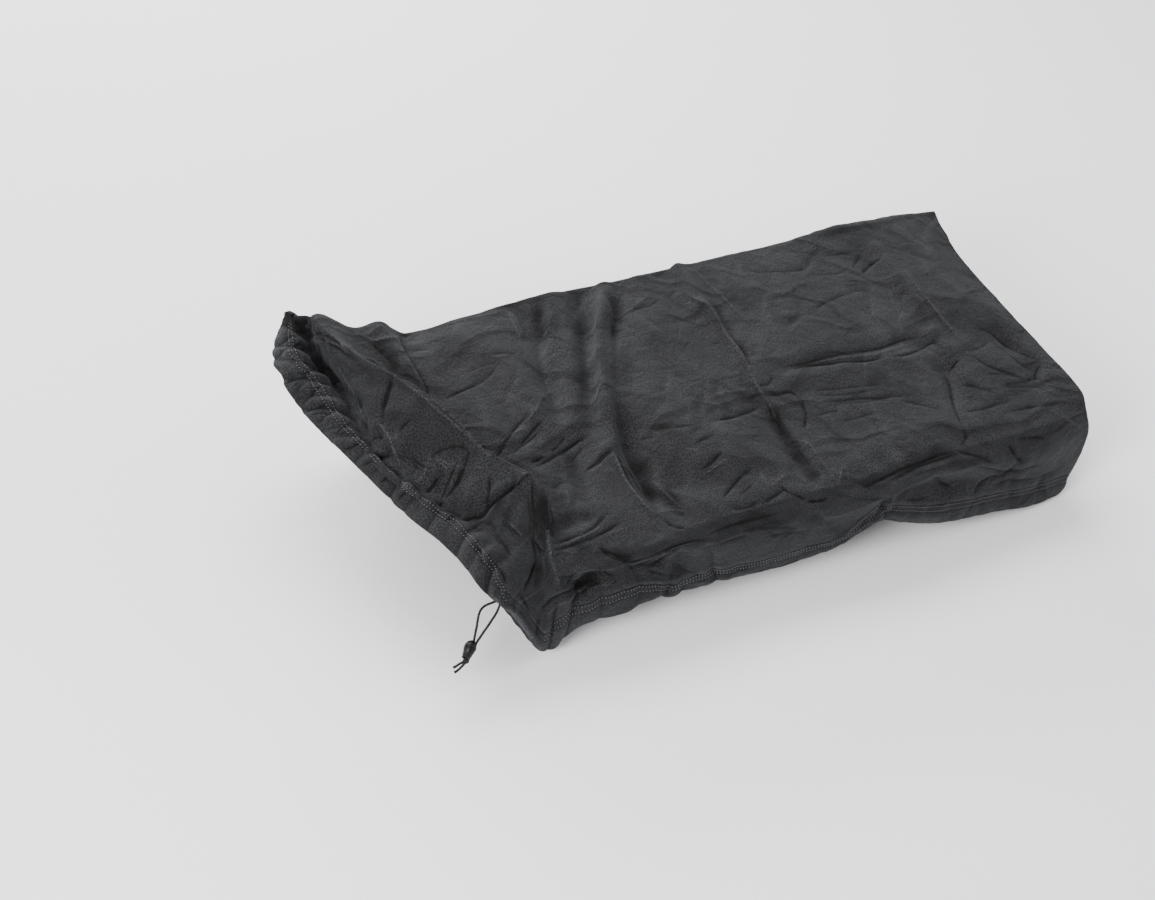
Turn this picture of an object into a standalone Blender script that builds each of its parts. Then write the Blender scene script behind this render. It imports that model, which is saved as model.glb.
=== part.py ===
"""Fitted dust cover of thin woven cloth, drawn back at its left end.

Metres, +Z up, +X along the cover's length, +Y towards its back. The origin is the
point under the middle of the top where the covered body carries the cloth. The
cloth is one sheet: a top, four walls that meet at sewn corners, and a hem that is
turned over into a tunnel for a drawcord. All tables are in millimetres.
"""
import math

import bmesh
import bpy
import numpy as np
from mathutils import Vector

MM = 0.001

# Driving dimensions, millimetres.
LONG_SIDE = 720.0
FRONT_Y = -172.0
BACK_Y = 172.0
CLOTH_THICKNESS = 1.8
HEM_THICKNESS = 3.8
CORD_DIAMETER = 2.2
LOCK_DIAMETER = 12.0
LOCK_LENGTH = 15.0
BUTTON_DIAMETER = 8.4
BUTTON_LENGTH = 5.0
KNOT_DIAMETER = 6.4
SEAT_GAP = 0.3
POINT_SPACING = 2.2
TURN_STEPS = 24

# Cells of the sheet: along the length, along the depth, down the walls.
CELLS_LONG = 44
CELLS_DEEP = 20
CELLS_DOWN = 9

# Height of the top's outer face across the depth.
TOP_PROFILE = (
    # y, z
    (-172.0, -27.0),
    (-146.0, -21.0),
    (-49.0, -7.0),
    (0.0, 2.0),
    (119.0, 12.0),
    (172.0, 16.0),
)

# Each row is one section of the wall, cut from the top's edge down to the hem. The
# share runs along that side's top edge. Left side: from the sewn front corner (0)
# to the back corner (1), where the end has been drawn back over the top.
LEFT_SECTIONS = (
    # share, edge, panel, valley, stitch, hem
    (0.00, (-272, -83, 11), (-311, -94, 0), (-337, -98, -17), (-356, -97, -11), (-376, -104, -22)),
    (0.13, (-306, -42, 22), (-338, -56, 8), (-368, -68, -9), (-379, -62, -1), (-394, -63, -18)),
    (0.25, (-327, 5, 37), (-362, -12, 18), (-391, -34, -1), (-397, -23, 7), (-410, -24, -8)),
    (0.37, (-341, 38, 43), (-374, 22, 26), (-401, 6, 4), (-407, 14, 12), (-427, 18, 4)),
    (0.50, (-358, 65, 47), (-387, 54, 29), (-402, 38, 8), (-416, 45, 18), (-441, 64, 8)),
    (0.63, (-379, 93, 51), (-393, 86, 30), (-400, 86, 11), (-421, 86, 26), (-449, 108, 12)),
    (0.76, (-392, 122, 54), (-399, 121, 31), (-405, 121, 14), (-427, 114, 34), (-450, 146, 15)),
    (0.88, (-401, 154, 55), (-404, 150, 36), (-408, 150, 18), (-434, 138, 42), (-448, 172, 22)),
    (1.00, (-408, 181, 54), (-405, 190, 42), (-410, 196, 34), (-421, 195, 38), (-427, 187, 56)),
)

# Front wall, from the same sewn corner to the right end.
FRONT_SECTIONS = (
    # share, edge, panel, valley, stitch, hem
    (0.000, (-272, -83, 11), (-311, -94, 0), (-337, -98, -17), (-356, -97, -11), (-376, -104, -22)),
    (0.035, (-270, -100, 2), (-306, -113, -6), (-334, -124, -13), (-351, -128, -9), (-367, -136, -25)),
    (0.070, (-273, -122, -10), (-303, -136, -12), (-329, -154, -13), (-345, -158, -14), (-358, -168, -36)),
    (0.105, (-281, -144, -18), (-303, -158, -22), (-326, -176, -28), (-341, -182, -32), (-343, -180, -54)),
    (0.140, (-288, -158, -22), (-302, -173, -42), (-316, -180, -54), (-322, -184, -56), (-325, -182, -84)),
    (0.170, (-278, -165, -23), (-289, -181, -48), (-297, -183, -80), (-301, -186, -92), (-304, -183, -120)),
    (0.200, (-258, -169, -25), (-277, -180, -50), (-281, -174, -84), (-283, -182, -100), (-285, -182, -131)),
    (0.235, (-238, -171, -26), (-252, -181, -46), (-254, -163, -68), (-258, -181, -86), (-260, -183, -115)),
    (0.290, (-198, -172, -26), (-205, -190, -42), (-208, -162, -62), (-214, -181, -80), (-216, -184, -107)),
    (0.380, (-132, -172, -26), (-134, -192, -42), (-136, -166, -64), (-138, -180, -76), (-138, -184, -104)),
    (0.480, (-60, -172, -26), (-60, -188, -46), (-60, -176, -66), (-60, -182, -76), (-60, -183, -102)),
    (0.580, (12, -172, -26), (12, -184, -46), (12, -180, -66), (12, -184, -77), (12, -184, -104)),
    (0.645, (58, -172, -26), (60, -188, -42), (58, -184, -62), (56, -180, -73), (56, -182, -100)),
    (0.700, (98, -172, -26), (100, -192, -36), (98, -170, -52), (94, -176, -65), (90, -179, -91)),
    (0.780, (156, -172, -25), (158, -186, -36), (158, -166, -60), (160, -182, -84), (162, -183, -113)),
    (0.880, (232, -172, -26), (234, -184, -48), (232, -182, -74), (230, -180, -90), (228, -184, -119)),
    (0.950, (290, -172, -26), (290, -184, -52), (289, -180, -82), (288, -178, -101), (288, -184, -130)),
    (1.000, (345, -166, -27), (351, -172, -52), (349, -173, -80), (344, -171, -108), (338, -173, -138)),
)

# Right end, from the front corner to the back corner.
RIGHT_SECTIONS = (
    # share, edge, panel, valley, stitch, hem
    (0.00, (345, -166, -27), (351, -172, -52), (349, -173, -80), (344, -171, -108), (338, -173, -138)),
    (0.08, (353, -142, -19), (358, -144, -50), (354, -144, -82), (347, -144, -106), (344, -144, -134)),
    (0.30, (354, -66, -15), (359, -66, -48), (355, -66, -82), (348, -66, -102), (346, -66, -130)),
    (0.52, (353, 6, -9), (360, 6, -44), (357, 6, -80), (348, 6, -101), (346, 6, -128)),
    (0.80, (353, 102, 1), (360, 102, -40), (357, 102, -78), (348, 102, -100), (346, 102, -127)),
    (0.94, (358, 148, 8), (361, 148, -34), (356, 146, -74), (348, 145, -97), (344, 145, -126)),
    (1.00, (364, 171, 12), (362, 174, -28), (354, 172, -70), (344, 169, -96), (338, 168, -127)),
)

# Back wall, from the drawn-back left corner to the right end.
BACK_SECTIONS = (
    # share, edge, panel, valley, stitch, hem
    (0.000, (-408, 181, 54), (-405, 190, 42), (-410, 196, 34), (-421, 195, 38), (-427, 187, 56)),
    (0.016, (-397, 180, 40), (-396, 191, 28), (-398, 198, 20), (-408, 204, 24), (-416, 206, 38)),
    (0.040, (-378, 175, 27), (-380, 187, 14), (-384, 194, 0), (-392, 202, -4), (-402, 207, -2)),
    (0.070, (-354, 173, 26), (-358, 184, 8), (-362, 189, -14), (-368, 191, -30), (-377, 193, -46)),
    (0.105, (-328, 172, 26), (-331, 184, 2), (-335, 186, -32), (-340, 186, -54), (-345, 187, -78)),
    (0.140, (-302, 172, 14), (-304, 182, -14), (-306, 184, -52), (-309, 182, -78), (-312, 184, -104)),
    (0.300, (-180, 172, 17), (-180, 182, -18), (-180, 182, -60), (-180, 180, -86), (-180, 183, -114)),
    (0.455, (-62, 172, 15), (-62, 183, -18), (-62, 181, -62), (-62, 181, -88), (-62, 182, -117)),
    (0.740, (152, 172, 16), (152, 182, -20), (152, 182, -62), (152, 180, -90), (152, 182, -119)),
    (0.830, (222, 175, 19), (222, 186, -18), (222, 183, -62), (222, 180, -92), (222, 182, -121)),
    (0.960, (326, 172, 15), (326, 182, -24), (326, 180, -68), (326, 178, -94), (324, 179, -124)),
    (1.000, (364, 171, 12), (362, 174, -28), (354, 172, -70), (344, 169, -96), (338, 168, -127)),
)

# How far down the wall the five points of a section lie, from edge (0) to hem (1).
WALL_KNOTS = (0.0, 0.30, 0.58, 0.76, 1.0)

# Folds of the top and of the front wall's upper part, each a soft ridge (positive
# rise) or trough (negative rise) along a line from one end to the other.
FOLDS = (
    # name, x0, y0, x1, y1, width, rise
    ("trough beside the raised end", -316, 176, -312, 70, 20, -4.0),
    ("hump at the back edge", -332, 176, -330, 128, 22, 7.0),
    ("fan fold, back", -352, 172, -326, 100, 20, 5.0),
    ("trough below the raised end", -262, 90, -226, -60, 34, -6.0),
    ("soft ridge, left third", -250, 172, -224, 20, 42, 4.0),
    ("left valley, upper", -175, 150, -195, 48, 22, -5.0),
    ("left valley, lower", -195, 48, -206, -60, 22, -5.0),
    ("left ridge", -140, 172, -158, -40, 30, 5.0),
    ("middle valley", -99, 172, -184, -40, 20, -6.0),
    ("middle ridge, back", -71, 176, -116, 50, 18, 8.0),
    ("middle ridge, front", -116, 50, -172, -50, 18, 6.0),
    ("long valley, back", -60, 172, -114, 40, 22, -5.0),
    ("long valley, middle", -114, 40, -148, -44, 24, -6.0),
    ("long valley, front", -148, -44, -140, -160, 26, -7.0),
    ("ridge at the back, left", -38, 176, -48, 80, 30, 4.0),
    ("ridge at the back, right", 22, 176, 10, 96, 22, 4.5),
    ("packing crease, left flank", -2, 160, 0, -150, 20, -5.0),
    ("packing crease, left", 16, 172, 16, -172, 9, 4.0),
    ("packing crease, right flank", 236, 120, 222, -60, 20, -4.5),
    ("packing crease, right", 258, 130, 240, -90, 10, 4.0),
    ("packing crease, front right", 226, -70, 188, -172, 16, -4.0),
    ("cross crease", 60, -14, 246, -24, 14, -4.5),
    ("cross crease, lower lip", 60, -30, 246, -42, 14, 3.0),
    ("right hollow, back", 262, 0, 322, -38, 24, -7.0),
    ("right hollow, front", 322, -38, 322, -100, 22, -6.0),
    ("right rim", 344, 20, 346, -120, 22, 3.0),
    ("front pillow, left", -90, -60, -40, -130, 46, 6.0),
    ("front trough", -14, -150, -110, -120, 24, -5.0),
    ("front right swell", 110, -150, 190, -140, 34, 6.0),
)

# Ripples of the drawn hem: short waves in and out along its run.
HEM_RIPPLES = (
    # wave length along the hem, depth, phase
    (46.0, 3.2, 0.3),
    (29.0, 1.8, 1.1),
)
LEFT_RIPPLE = 0.5

# Distances over which the edges' own heights blend into the lie of the top.
RIDGE_FALL = 32.0
RIDGE_SHARPNESS = 1.5
FRONT_FALL = 40.0
BACK_FALL = 30.0
SHOULDER_FALL = 24.0
CORNER_BLEND = 30.0

# Shares of the length and of the depth over which folds fade in at the edges.
FADE_LEFT = 0.05
FADE_RIGHT = 0.03
FADE_FRONT = 0.06

# How fast a fold flattens to its side, and past its ends.
FOLD_FLATTEN = 1.6
FOLD_END_REACH = 0.7

# Route of the two cord ends, from the hem down to the lock.
CORD_FRONT_ROUTE = (
    # x, y, z
    (-344.6, -178.9, -52.8),
    (-346.4, -182.0, -52.4),
    (-351.6, -184.8, -51.4),
    (-358.4, -186.2, -51.4),
    (-364.6, -187.0, -54.2),
    (-369.6, -187.6, -60.4),
    (-373.8, -188.0, -68.8),
    (-377.0, -188.1, -78.4),
)
CORD_BACK_ROUTE = (
    # x, y, z
    (-342.1, -178.8, -55.8),
    (-343.4, -183.0, -57.6),
    (-347.4, -185.6, -60.4),
    (-353.8, -187.0, -63.8),
    (-361.4, -187.7, -67.4),
    (-368.4, -188.0, -70.8),
    (-372.6, -188.1, -74.4),
    (-373.8, -188.1, -78.6),
)
LOCK_TOP = (-375.4, -188.1, -79.3)
LOCK_TILT = (-0.16, 0.0, -1.0)

# The knot: how far it leans from the lock's axis, and its lobes.
KNOT_LEAN = 0.6
KNOT_LOBES = 3
KNOT_LOBE_DEPTH = 0.09
KNOT_TWIST = 900.0

# The cut ends of the cord, measured from the knot's centre.
TAIL_ENDS = (
    # name, end, bend between
    ("tail_long", (-14.0, -1.0, -5.0), (-7.0, -1.5, -1.0)),
    ("tail_short", (-11.0, 1.0, -13.0), (-5.0, 1.0, -8.0)),
)


# ---------------------------------------------------------------- helpers

def fresh_scene():
    """Empty the scene and return the collection for the cover."""
    for old in list(bpy.data.objects):
        bpy.data.objects.remove(old, do_unlink=True)
    collection = bpy.data.collections.new("piano_cover")
    bpy.context.scene.collection.children.link(collection)
    return collection


def make_material(name, colour, roughness, metallic=0.0):
    """A plain finish with its colour, roughness and metallic value."""
    material = bpy.data.materials.new(name)
    material.use_nodes = True
    shader = material.node_tree.nodes["Principled BSDF"]
    shader.inputs["Base Color"].default_value = (*colour, 1.0)
    shader.inputs["Roughness"].default_value = roughness
    shader.inputs["Metallic"].default_value = metallic
    material.diffuse_color = (*colour, 1.0)
    return material


def add_object(name, mesh, material, collection):
    """Link a mesh as a named part with its material."""
    part = bpy.data.objects.new(name, mesh)
    part.data.materials.clear()
    part.data.materials.append(material)
    collection.objects.link(part)
    return part


def smooth_through(knots, points, at):
    """Read a smooth curve through points, placed at rising knots, at the value at."""
    knots = np.asarray(knots, float)
    points = np.asarray(points, float)
    span = int(np.clip(np.searchsorted(knots, at, side="right") - 1, 0, len(knots) - 2))
    slopes = []
    for row in (span, span + 1):
        low = max(row - 1, 0)
        high = min(row + 1, len(knots) - 1)
        slopes.append((points[high] - points[low]) / (knots[high] - knots[low]))
    width = knots[span + 1] - knots[span]
    t = (at - knots[span]) / width
    start_share = 2 * t**3 - 3 * t**2 + 1
    start_slope = t**3 - 2 * t**2 + t
    end_share = -2 * t**3 + 3 * t**2
    end_slope = t**3 - t**2
    return (start_share * points[span] + start_slope * width * slopes[0]
            + end_share * points[span + 1] + end_slope * width * slopes[1])


def track(sections, column, share):
    """The point of one column of a section table, at a share of that side."""
    knots = [row[0] for row in sections]
    points = [row[column] for row in sections]
    return smooth_through(knots, points, share)


def wall_point(sections, share, down):
    """A point of a wall: along its top edge by share, down to the hem by down."""
    column_points = [track(sections, column, share) for column in range(1, 6)]
    return smooth_through(WALL_KNOTS, column_points, down)


def top_height(y):
    """Height of the top's outer face where it lies on the covered body."""
    knots = [row[0] for row in TOP_PROFILE]
    heights = [[row[1]] for row in TOP_PROFILE]
    return float(smooth_through(knots, heights, min(max(y, FRONT_Y), BACK_Y))[0])


def fold_rise(x, y):
    """Sum of the soft ridges and troughs at a place on the top."""
    total = 0.0
    for _, x0, y0, x1, y1, width, rise in FOLDS:
        along = np.array([x1 - x0, y1 - y0], float)
        length = float(np.hypot(*along))
        along /= length
        offset = np.array([x - x0, y - y0])
        run = float(offset @ along)
        across = float(offset[0] * along[1] - offset[1] * along[0])
        over = max(-run, run - length, 0.0)
        distance = math.hypot(across, FOLD_END_REACH * over)
        total += rise * math.exp(-((distance / width) ** 2) * FOLD_FLATTEN)
    return total


# ---------------------------------------------------------------- the cloth

def top_point(along, deep):
    """A point of the top: along from left end to right end, deep from front to back."""
    left = track(LEFT_SECTIONS, 1, deep)
    right = track(RIGHT_SECTIONS, 1, deep)
    front = track(FRONT_SECTIONS, 1, along)
    back = track(BACK_SECTIONS, 1, along)
    corners = (
        (1 - along) * (1 - deep) * np.array(LEFT_SECTIONS[0][1], float)
        + (1 - along) * deep * np.array(LEFT_SECTIONS[-1][1], float)
        + along * (1 - deep) * np.array(RIGHT_SECTIONS[0][1], float)
        + along * deep * np.array(RIGHT_SECTIONS[-1][1], float)
    )
    point = ((1 - along) * left + along * right
             + (1 - deep) * front + deep * back - corners)
    x, y = point[0], point[1]
    flat = top_height(y)
    left_lift = left[2] - top_height(left[1])
    front_lift = front[2] - top_height(front[1])
    back_lift = back[2] - top_height(back[1])
    right_lift = right[2] - top_height(right[1])
    from_left = math.hypot(x - left[0], y - left[1])
    from_front = abs(y - front[1])
    from_back = abs(y - back[1])
    from_right = abs(x - right[0])
    off_corner = min(from_left / CORNER_BLEND, 1.0)
    lift = (left_lift * math.exp(-(from_left / RIDGE_FALL) ** RIDGE_SHARPNESS)
            + front_lift * math.exp(-(from_front / FRONT_FALL) ** 2) * off_corner
            + back_lift * math.exp(-(from_back / BACK_FALL) ** 2) * off_corner
            + right_lift * math.exp(-(from_right / SHOULDER_FALL) ** 2))
    edge_fade = min(along / FADE_LEFT, 1.0) * min((1 - along) / FADE_RIGHT, 1.0)
    edge_fade *= min(deep / FADE_FRONT, 1.0)
    return np.array([x, y, flat + lift + edge_fade * fold_rise(x, y)])


def ripple(run):
    """How far the drawn hem stands out at a distance along its run."""
    return sum(depth * math.sin(2 * math.pi * run / wave + phase)
               for wave, depth, phase in HEM_RIPPLES)


def build_sheet():
    """The open sheet: a grid for the top, with walls drawn down from its border."""
    sheet = bmesh.new()
    bmesh.ops.create_grid(sheet, x_segments=CELLS_LONG, y_segments=CELLS_DEEP, size=1.0)
    place = {}
    for vert in sheet.verts:
        along = (vert.co.x + 1.0) / 2.0
        deep = (vert.co.y + 1.0) / 2.0
        place[vert] = (along, deep, 0.0)
    border = [edge for edge in sheet.edges if edge.is_boundary]
    for row in range(1, CELLS_DOWN + 1):
        grown = bmesh.ops.extrude_edge_only(sheet, edges=border)["geom"]
        new_verts = [item for item in grown if isinstance(item, bmesh.types.BMVert)]
        new_edges = [item for item in grown if isinstance(item, bmesh.types.BMEdge)]
        for vert in new_verts:
            above = nearest_old(vert, place)
            place[vert] = (above[0], above[1], row / CELLS_DOWN)
        border = [edge for edge in new_edges if edge.is_boundary
                  and all(place[v][2] == row / CELLS_DOWN for v in edge.verts)]
    return sheet, place


def nearest_old(vert, place):
    """The grid place of the vertex that a new border vertex was drawn from."""
    for edge in vert.link_edges:
        other = edge.other_vert(vert)
        if other in place and (other.co - vert.co).length < 1e-9:
            return place[other]
    raise ValueError("a border vertex has no neighbour above it")


def sheet_point(along, deep, down):
    """Where a point of the sheet lies, in millimetres."""
    if down == 0.0:
        if along <= 0.0:
            return track(LEFT_SECTIONS, 1, deep)
        if along >= 1.0:
            return track(RIGHT_SECTIONS, 1, deep)
        if deep <= 0.0:
            return track(FRONT_SECTIONS, 1, along)
        if deep >= 1.0:
            return track(BACK_SECTIONS, 1, along)
        return top_point(along, deep)
    if along <= 0.0:
        return wall_point(LEFT_SECTIONS, deep, down)
    if along >= 1.0:
        return wall_point(RIGHT_SECTIONS, deep, down)
    if deep <= 0.0:
        return wall_point(FRONT_SECTIONS, along, down)
    return wall_point(BACK_SECTIONS, along, down)


def build_cloth(collection):
    """The cover's cloth, thickened inwards, thicker where the hem is turned over."""
    sheet, place = build_sheet()
    for vert in sheet.verts:
        vert.co = Vector(sheet_point(*place[vert])) * MM
    bmesh.ops.recalc_face_normals(sheet, faces=sheet.faces)
    sheet.normal_update()
    top_face = max(sheet.faces, key=lambda face: face.calc_center_median().z)
    if top_face.normal.z < 0:
        bmesh.ops.reverse_faces(sheet, faces=sheet.faces)
    sheet.normal_update()
    hem_start = WALL_KNOTS[2]
    depth = BACK_Y - FRONT_Y
    hem_shares = []
    for vert in sheet.verts:
        along, deep, down = place[vert]
        run = LONG_SIDE * along if deep in (0.0, 1.0) else depth * deep
        hem_share = max(0.0, (down - hem_start) / (1.0 - hem_start))
        hem_shares.append(hem_share)
        side = LEFT_RIPPLE if along == 0.0 else 1.0
        vert.co += vert.normal * (ripple(run) * hem_share * side * MM)
    mesh = bpy.data.meshes.new("cover_cloth")
    sheet.to_mesh(mesh)
    sheet.free()
    charcoal = make_material("cloth_charcoal", (0.022, 0.022, 0.025), 0.72)
    cloth = add_object("cover_cloth", mesh, charcoal, collection)
    hem_group = cloth.vertex_groups.new(name="hem")
    for index, share in enumerate(hem_shares):
        hem_group.add([index], min(1.0, share), "REPLACE")
    shell = cloth.modifiers.new("thickness", "SOLIDIFY")
    shell.thickness = HEM_THICKNESS * MM
    shell.offset = -1.0
    shell.vertex_group = "hem"
    shell.thickness_vertex_group = CLOTH_THICKNESS / HEM_THICKNESS
    mesh.shade_smooth()
    return cloth


# ---------------------------------------------------------------- cord, lock and knot

def build_cord(name, route, material, collection):
    """One end of the drawcord: a tube along a smooth curve through its route."""
    route = np.array(route, float) * MM
    steps = np.linalg.norm(np.diff(route, axis=0), axis=1)
    knots = np.concatenate([[0.0], np.cumsum(steps)])
    count = int(knots[-1] / (POINT_SPACING * CORD_DIAMETER * MM)) + 1
    shares = [index / count for index in range(count + 1)]
    points = [smooth_through(knots, route, knots[-1] * share) for share in shares]
    curve = bpy.data.curves.new(name, "CURVE")
    curve.dimensions = "3D"
    curve.bevel_depth = CORD_DIAMETER / 2 * MM
    curve.bevel_resolution = 2
    curve.use_fill_caps = True
    spline = curve.splines.new("POLY")
    spline.points.add(len(points) - 1)
    for spot, point in zip(spline.points, points):
        spot.co = (*point, 1.0)
    curve.materials.append(material)
    collection.objects.link(bpy.data.objects.new(name, curve))


def turned_part(name, profile, origin, axis, material, collection):
    """A round part turned from (radius, distance along the axis) rows in millimetres."""
    mesh = bpy.data.meshes.new(name)
    points = [(radius * MM, 0.0, -distance * MM) for radius, distance in profile]
    edges = [(index, index + 1) for index in range(len(points) - 1)]
    mesh.from_pydata(points, edges, [])
    part = add_object(name, mesh, material, collection)
    screw = part.modifiers.new("turn", "SCREW")
    screw.axis = "Z"
    screw.angle = math.tau
    screw.steps = TURN_STEPS
    screw.render_steps = TURN_STEPS
    screw.use_merge_vertices = True
    screw.merge_threshold = 0.00002
    screw.use_normal_calculate = True
    direction = Vector(axis).normalized()
    part.rotation_mode = "QUATERNION"
    part.rotation_quaternion = Vector((0, 0, -1)).rotation_difference(direction)
    part.location = Vector(origin) * MM
    return part


def build_lock(collection):
    """The cord lock: a barrel with rounded ends and a button standing out below."""
    plastic = make_material("lock_plastic", (0.035, 0.036, 0.038), 0.42)
    radius = LOCK_DIAMETER / 2
    barrel_profile = (
        (0.0, 0.0),
        (radius - 2.2, 0.0),
        (radius - 0.7, 0.7),
        (radius, 2.2),
        (radius, LOCK_LENGTH - 3.6),
        (radius + 0.5, LOCK_LENGTH - 3.2),
        (radius + 0.5, LOCK_LENGTH - 1.0),
        (radius - 0.2, LOCK_LENGTH),
        (0.0, LOCK_LENGTH),
    )
    turned_part("cord_lock_barrel", barrel_profile, LOCK_TOP, LOCK_TILT, plastic, collection)
    direction = Vector(LOCK_TILT).normalized()
    button_start = Vector(LOCK_TOP) + direction * (LOCK_LENGTH + SEAT_GAP)
    button_radius = BUTTON_DIAMETER / 2
    button_profile = (
        (0.0, 0.0),
        (button_radius, 0.0),
        (button_radius, BUTTON_LENGTH - 1.2),
        (button_radius - 1.2, BUTTON_LENGTH),
        (0.0, BUTTON_LENGTH),
    )
    button = make_material("button_plastic", (0.045, 0.046, 0.048), 0.38)
    turned_part("cord_lock_button", button_profile, button_start, LOCK_TILT, button, collection)
    return button_start + direction * (BUTTON_LENGTH + SEAT_GAP)


def build_knot(start, collection):
    """The knot under the lock, one body with the two cut ends of the cord."""
    material = make_material("knot_cord", (0.03, 0.03, 0.032), 0.8)
    centre = start + Vector((-KNOT_LEAN, 0.0, -KNOT_DIAMETER / 2))
    knot = bmesh.new()
    bmesh.ops.create_icosphere(knot, subdivisions=3, radius=KNOT_DIAMETER / 2 * MM)
    for vert in knot.verts:
        turn = math.atan2(vert.co.x, vert.co.z)
        lobe = math.sin(KNOT_LOBES * turn + KNOT_TWIST * vert.co.y)
        vert.co *= 1.0 + KNOT_LOBE_DEPTH * lobe
    bmesh.ops.translate(knot, verts=knot.verts, vec=centre * MM)
    mesh = bpy.data.meshes.new("cord_knot")
    knot.to_mesh(mesh)
    knot.free()
    body = add_object("cord_knot", mesh, material, collection)
    cutters = bpy.data.collections.new("joined_shapes")
    bpy.context.scene.collection.children.link(cutters)
    for name, reach, bend in TAIL_ENDS:
        tail = tail_mesh(name, centre, Vector(bend), Vector(reach), cutters)
        union = body.modifiers.new(name, "BOOLEAN")
        union.operation = "UNION"
        union.object = tail


def tail_mesh(name, centre, bend, reach, cutters):
    """A cut cord end as a closed mesh, starting inside the knot."""
    curve = bpy.data.curves.new(name, "CURVE")
    curve.dimensions = "3D"
    curve.bevel_depth = CORD_DIAMETER / 2 * MM
    curve.bevel_resolution = 2
    curve.use_fill_caps = True
    spline = curve.splines.new("POLY")
    spline.points.add(3)
    stops = (centre, centre + bend * 0.5, centre + bend, centre + reach)
    for spot, point in zip(spline.points, stops):
        spot.co = (*(point * MM), 1.0)
    holder = bpy.data.objects.new(name + "_curve", curve)
    cutters.objects.link(holder)
    bpy.context.view_layer.update()
    graph = bpy.context.evaluated_depsgraph_get()
    mesh = bpy.data.meshes.new_from_object(holder.evaluated_get(graph))
    shape = bmesh.new()
    shape.from_mesh(mesh)
    bmesh.ops.remove_doubles(shape, verts=shape.verts, dist=1e-6)
    bmesh.ops.recalc_face_normals(shape, faces=shape.faces)
    shape.to_mesh(mesh)
    shape.free()
    tail = bpy.data.objects.new(name, mesh)
    tail.matrix_world = holder.matrix_world
    cutters.objects.link(tail)
    bpy.data.objects.remove(holder, do_unlink=True)
    tail.hide_render = True
    tail.display_type = "WIRE"
    return tail


def main():
    collection = fresh_scene()
    build_cloth(collection)
    cord = make_material("cord_braid", (0.03, 0.03, 0.032), 0.8)
    build_cord("drawcord_front", CORD_FRONT_ROUTE, cord, collection)
    build_cord("drawcord_back", CORD_BACK_ROUTE, cord, collection)
    knot_start = build_lock(collection)
    build_knot(knot_start, collection)


main()
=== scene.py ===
"""Looks of the piano cover: a fitted dust cover of thin charcoal cloth, drawn back at its left end.

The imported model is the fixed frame. The script is laid out as an add-on: a user sets sizes and
colours in the 3D view's sidebar, and one operator makes each piece. Metres, +Z up, +X along the
cover's length. Tables of places are in millimetres.
"""

import math  # noqa: E402

import bmesh  # noqa: E402
import bpy  # noqa: E402
import numpy as np  # noqa: E402
from mathutils import Matrix, Vector, noise  # noqa: E402
from mathutils.kdtree import KDTree  # noqa: E402


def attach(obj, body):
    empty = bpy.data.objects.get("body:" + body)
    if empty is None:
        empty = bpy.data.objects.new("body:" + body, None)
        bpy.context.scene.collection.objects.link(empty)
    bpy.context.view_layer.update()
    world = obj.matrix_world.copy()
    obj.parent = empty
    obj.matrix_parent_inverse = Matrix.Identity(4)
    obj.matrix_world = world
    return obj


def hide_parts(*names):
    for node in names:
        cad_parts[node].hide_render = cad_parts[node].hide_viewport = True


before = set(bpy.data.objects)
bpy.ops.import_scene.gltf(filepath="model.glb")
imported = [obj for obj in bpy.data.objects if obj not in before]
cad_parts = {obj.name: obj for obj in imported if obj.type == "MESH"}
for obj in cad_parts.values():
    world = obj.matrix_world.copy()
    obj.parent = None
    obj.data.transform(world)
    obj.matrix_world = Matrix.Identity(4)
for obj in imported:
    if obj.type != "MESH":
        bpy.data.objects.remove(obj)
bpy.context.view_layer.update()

bl_info = {
    "name": "Piano cover",
    "version": (1, 0, 0),
    "blender": (4, 5, 0),
    "location": "View3D > Sidebar > Piano cover",
    "description": "Makes a fitted dust cover of thin cloth with a drawn hem, cord and cord lock",
    "category": "Object",
}

MM = 0.001


def read_table(text):
    """Rows of a text table, one to a line; a line that starts with a space goes on with the row
    above. A place such as 1,2,3 becomes a tuple, a number a float, and a word stays as it is."""
    rows = []
    for line in text.splitlines():
        line = line.split("#")[0].rstrip()
        items = [tuple(float(part) for part in item.split(",")) if "," in item
                 else float(item) if item[-1].isdigit() else item for item in line.split()]
        if line.startswith(" "):
            rows[-1] += items
        elif items:
            rows.append(items)
    return rows


# ---------------------------------------------------------------- the sheet's own sizes

# Cells of the sheet: along the length, along the depth, down the walls to the hem's seam.
CELLS_LONG = 288
CELLS_DEEP = 138
CELLS_DOWN = 16
# Near a sharp crease each cell is split into this many, each way, up to so many cells, where
# the crease is at least so steep.
FINE_SPLIT = 2
FINE_CELLS_MOST = 6000
FINE_LEAST = 0.05

# Height of the top's outer face across the depth: y, z.
TOP_PROFILE = np.array(((-172.0, -27.0), (-146.0, -21.0), (-49.0, -7.0), (0.0, 2.0),
                        (119.0, 12.0), (172.0, 16.0)))

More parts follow.
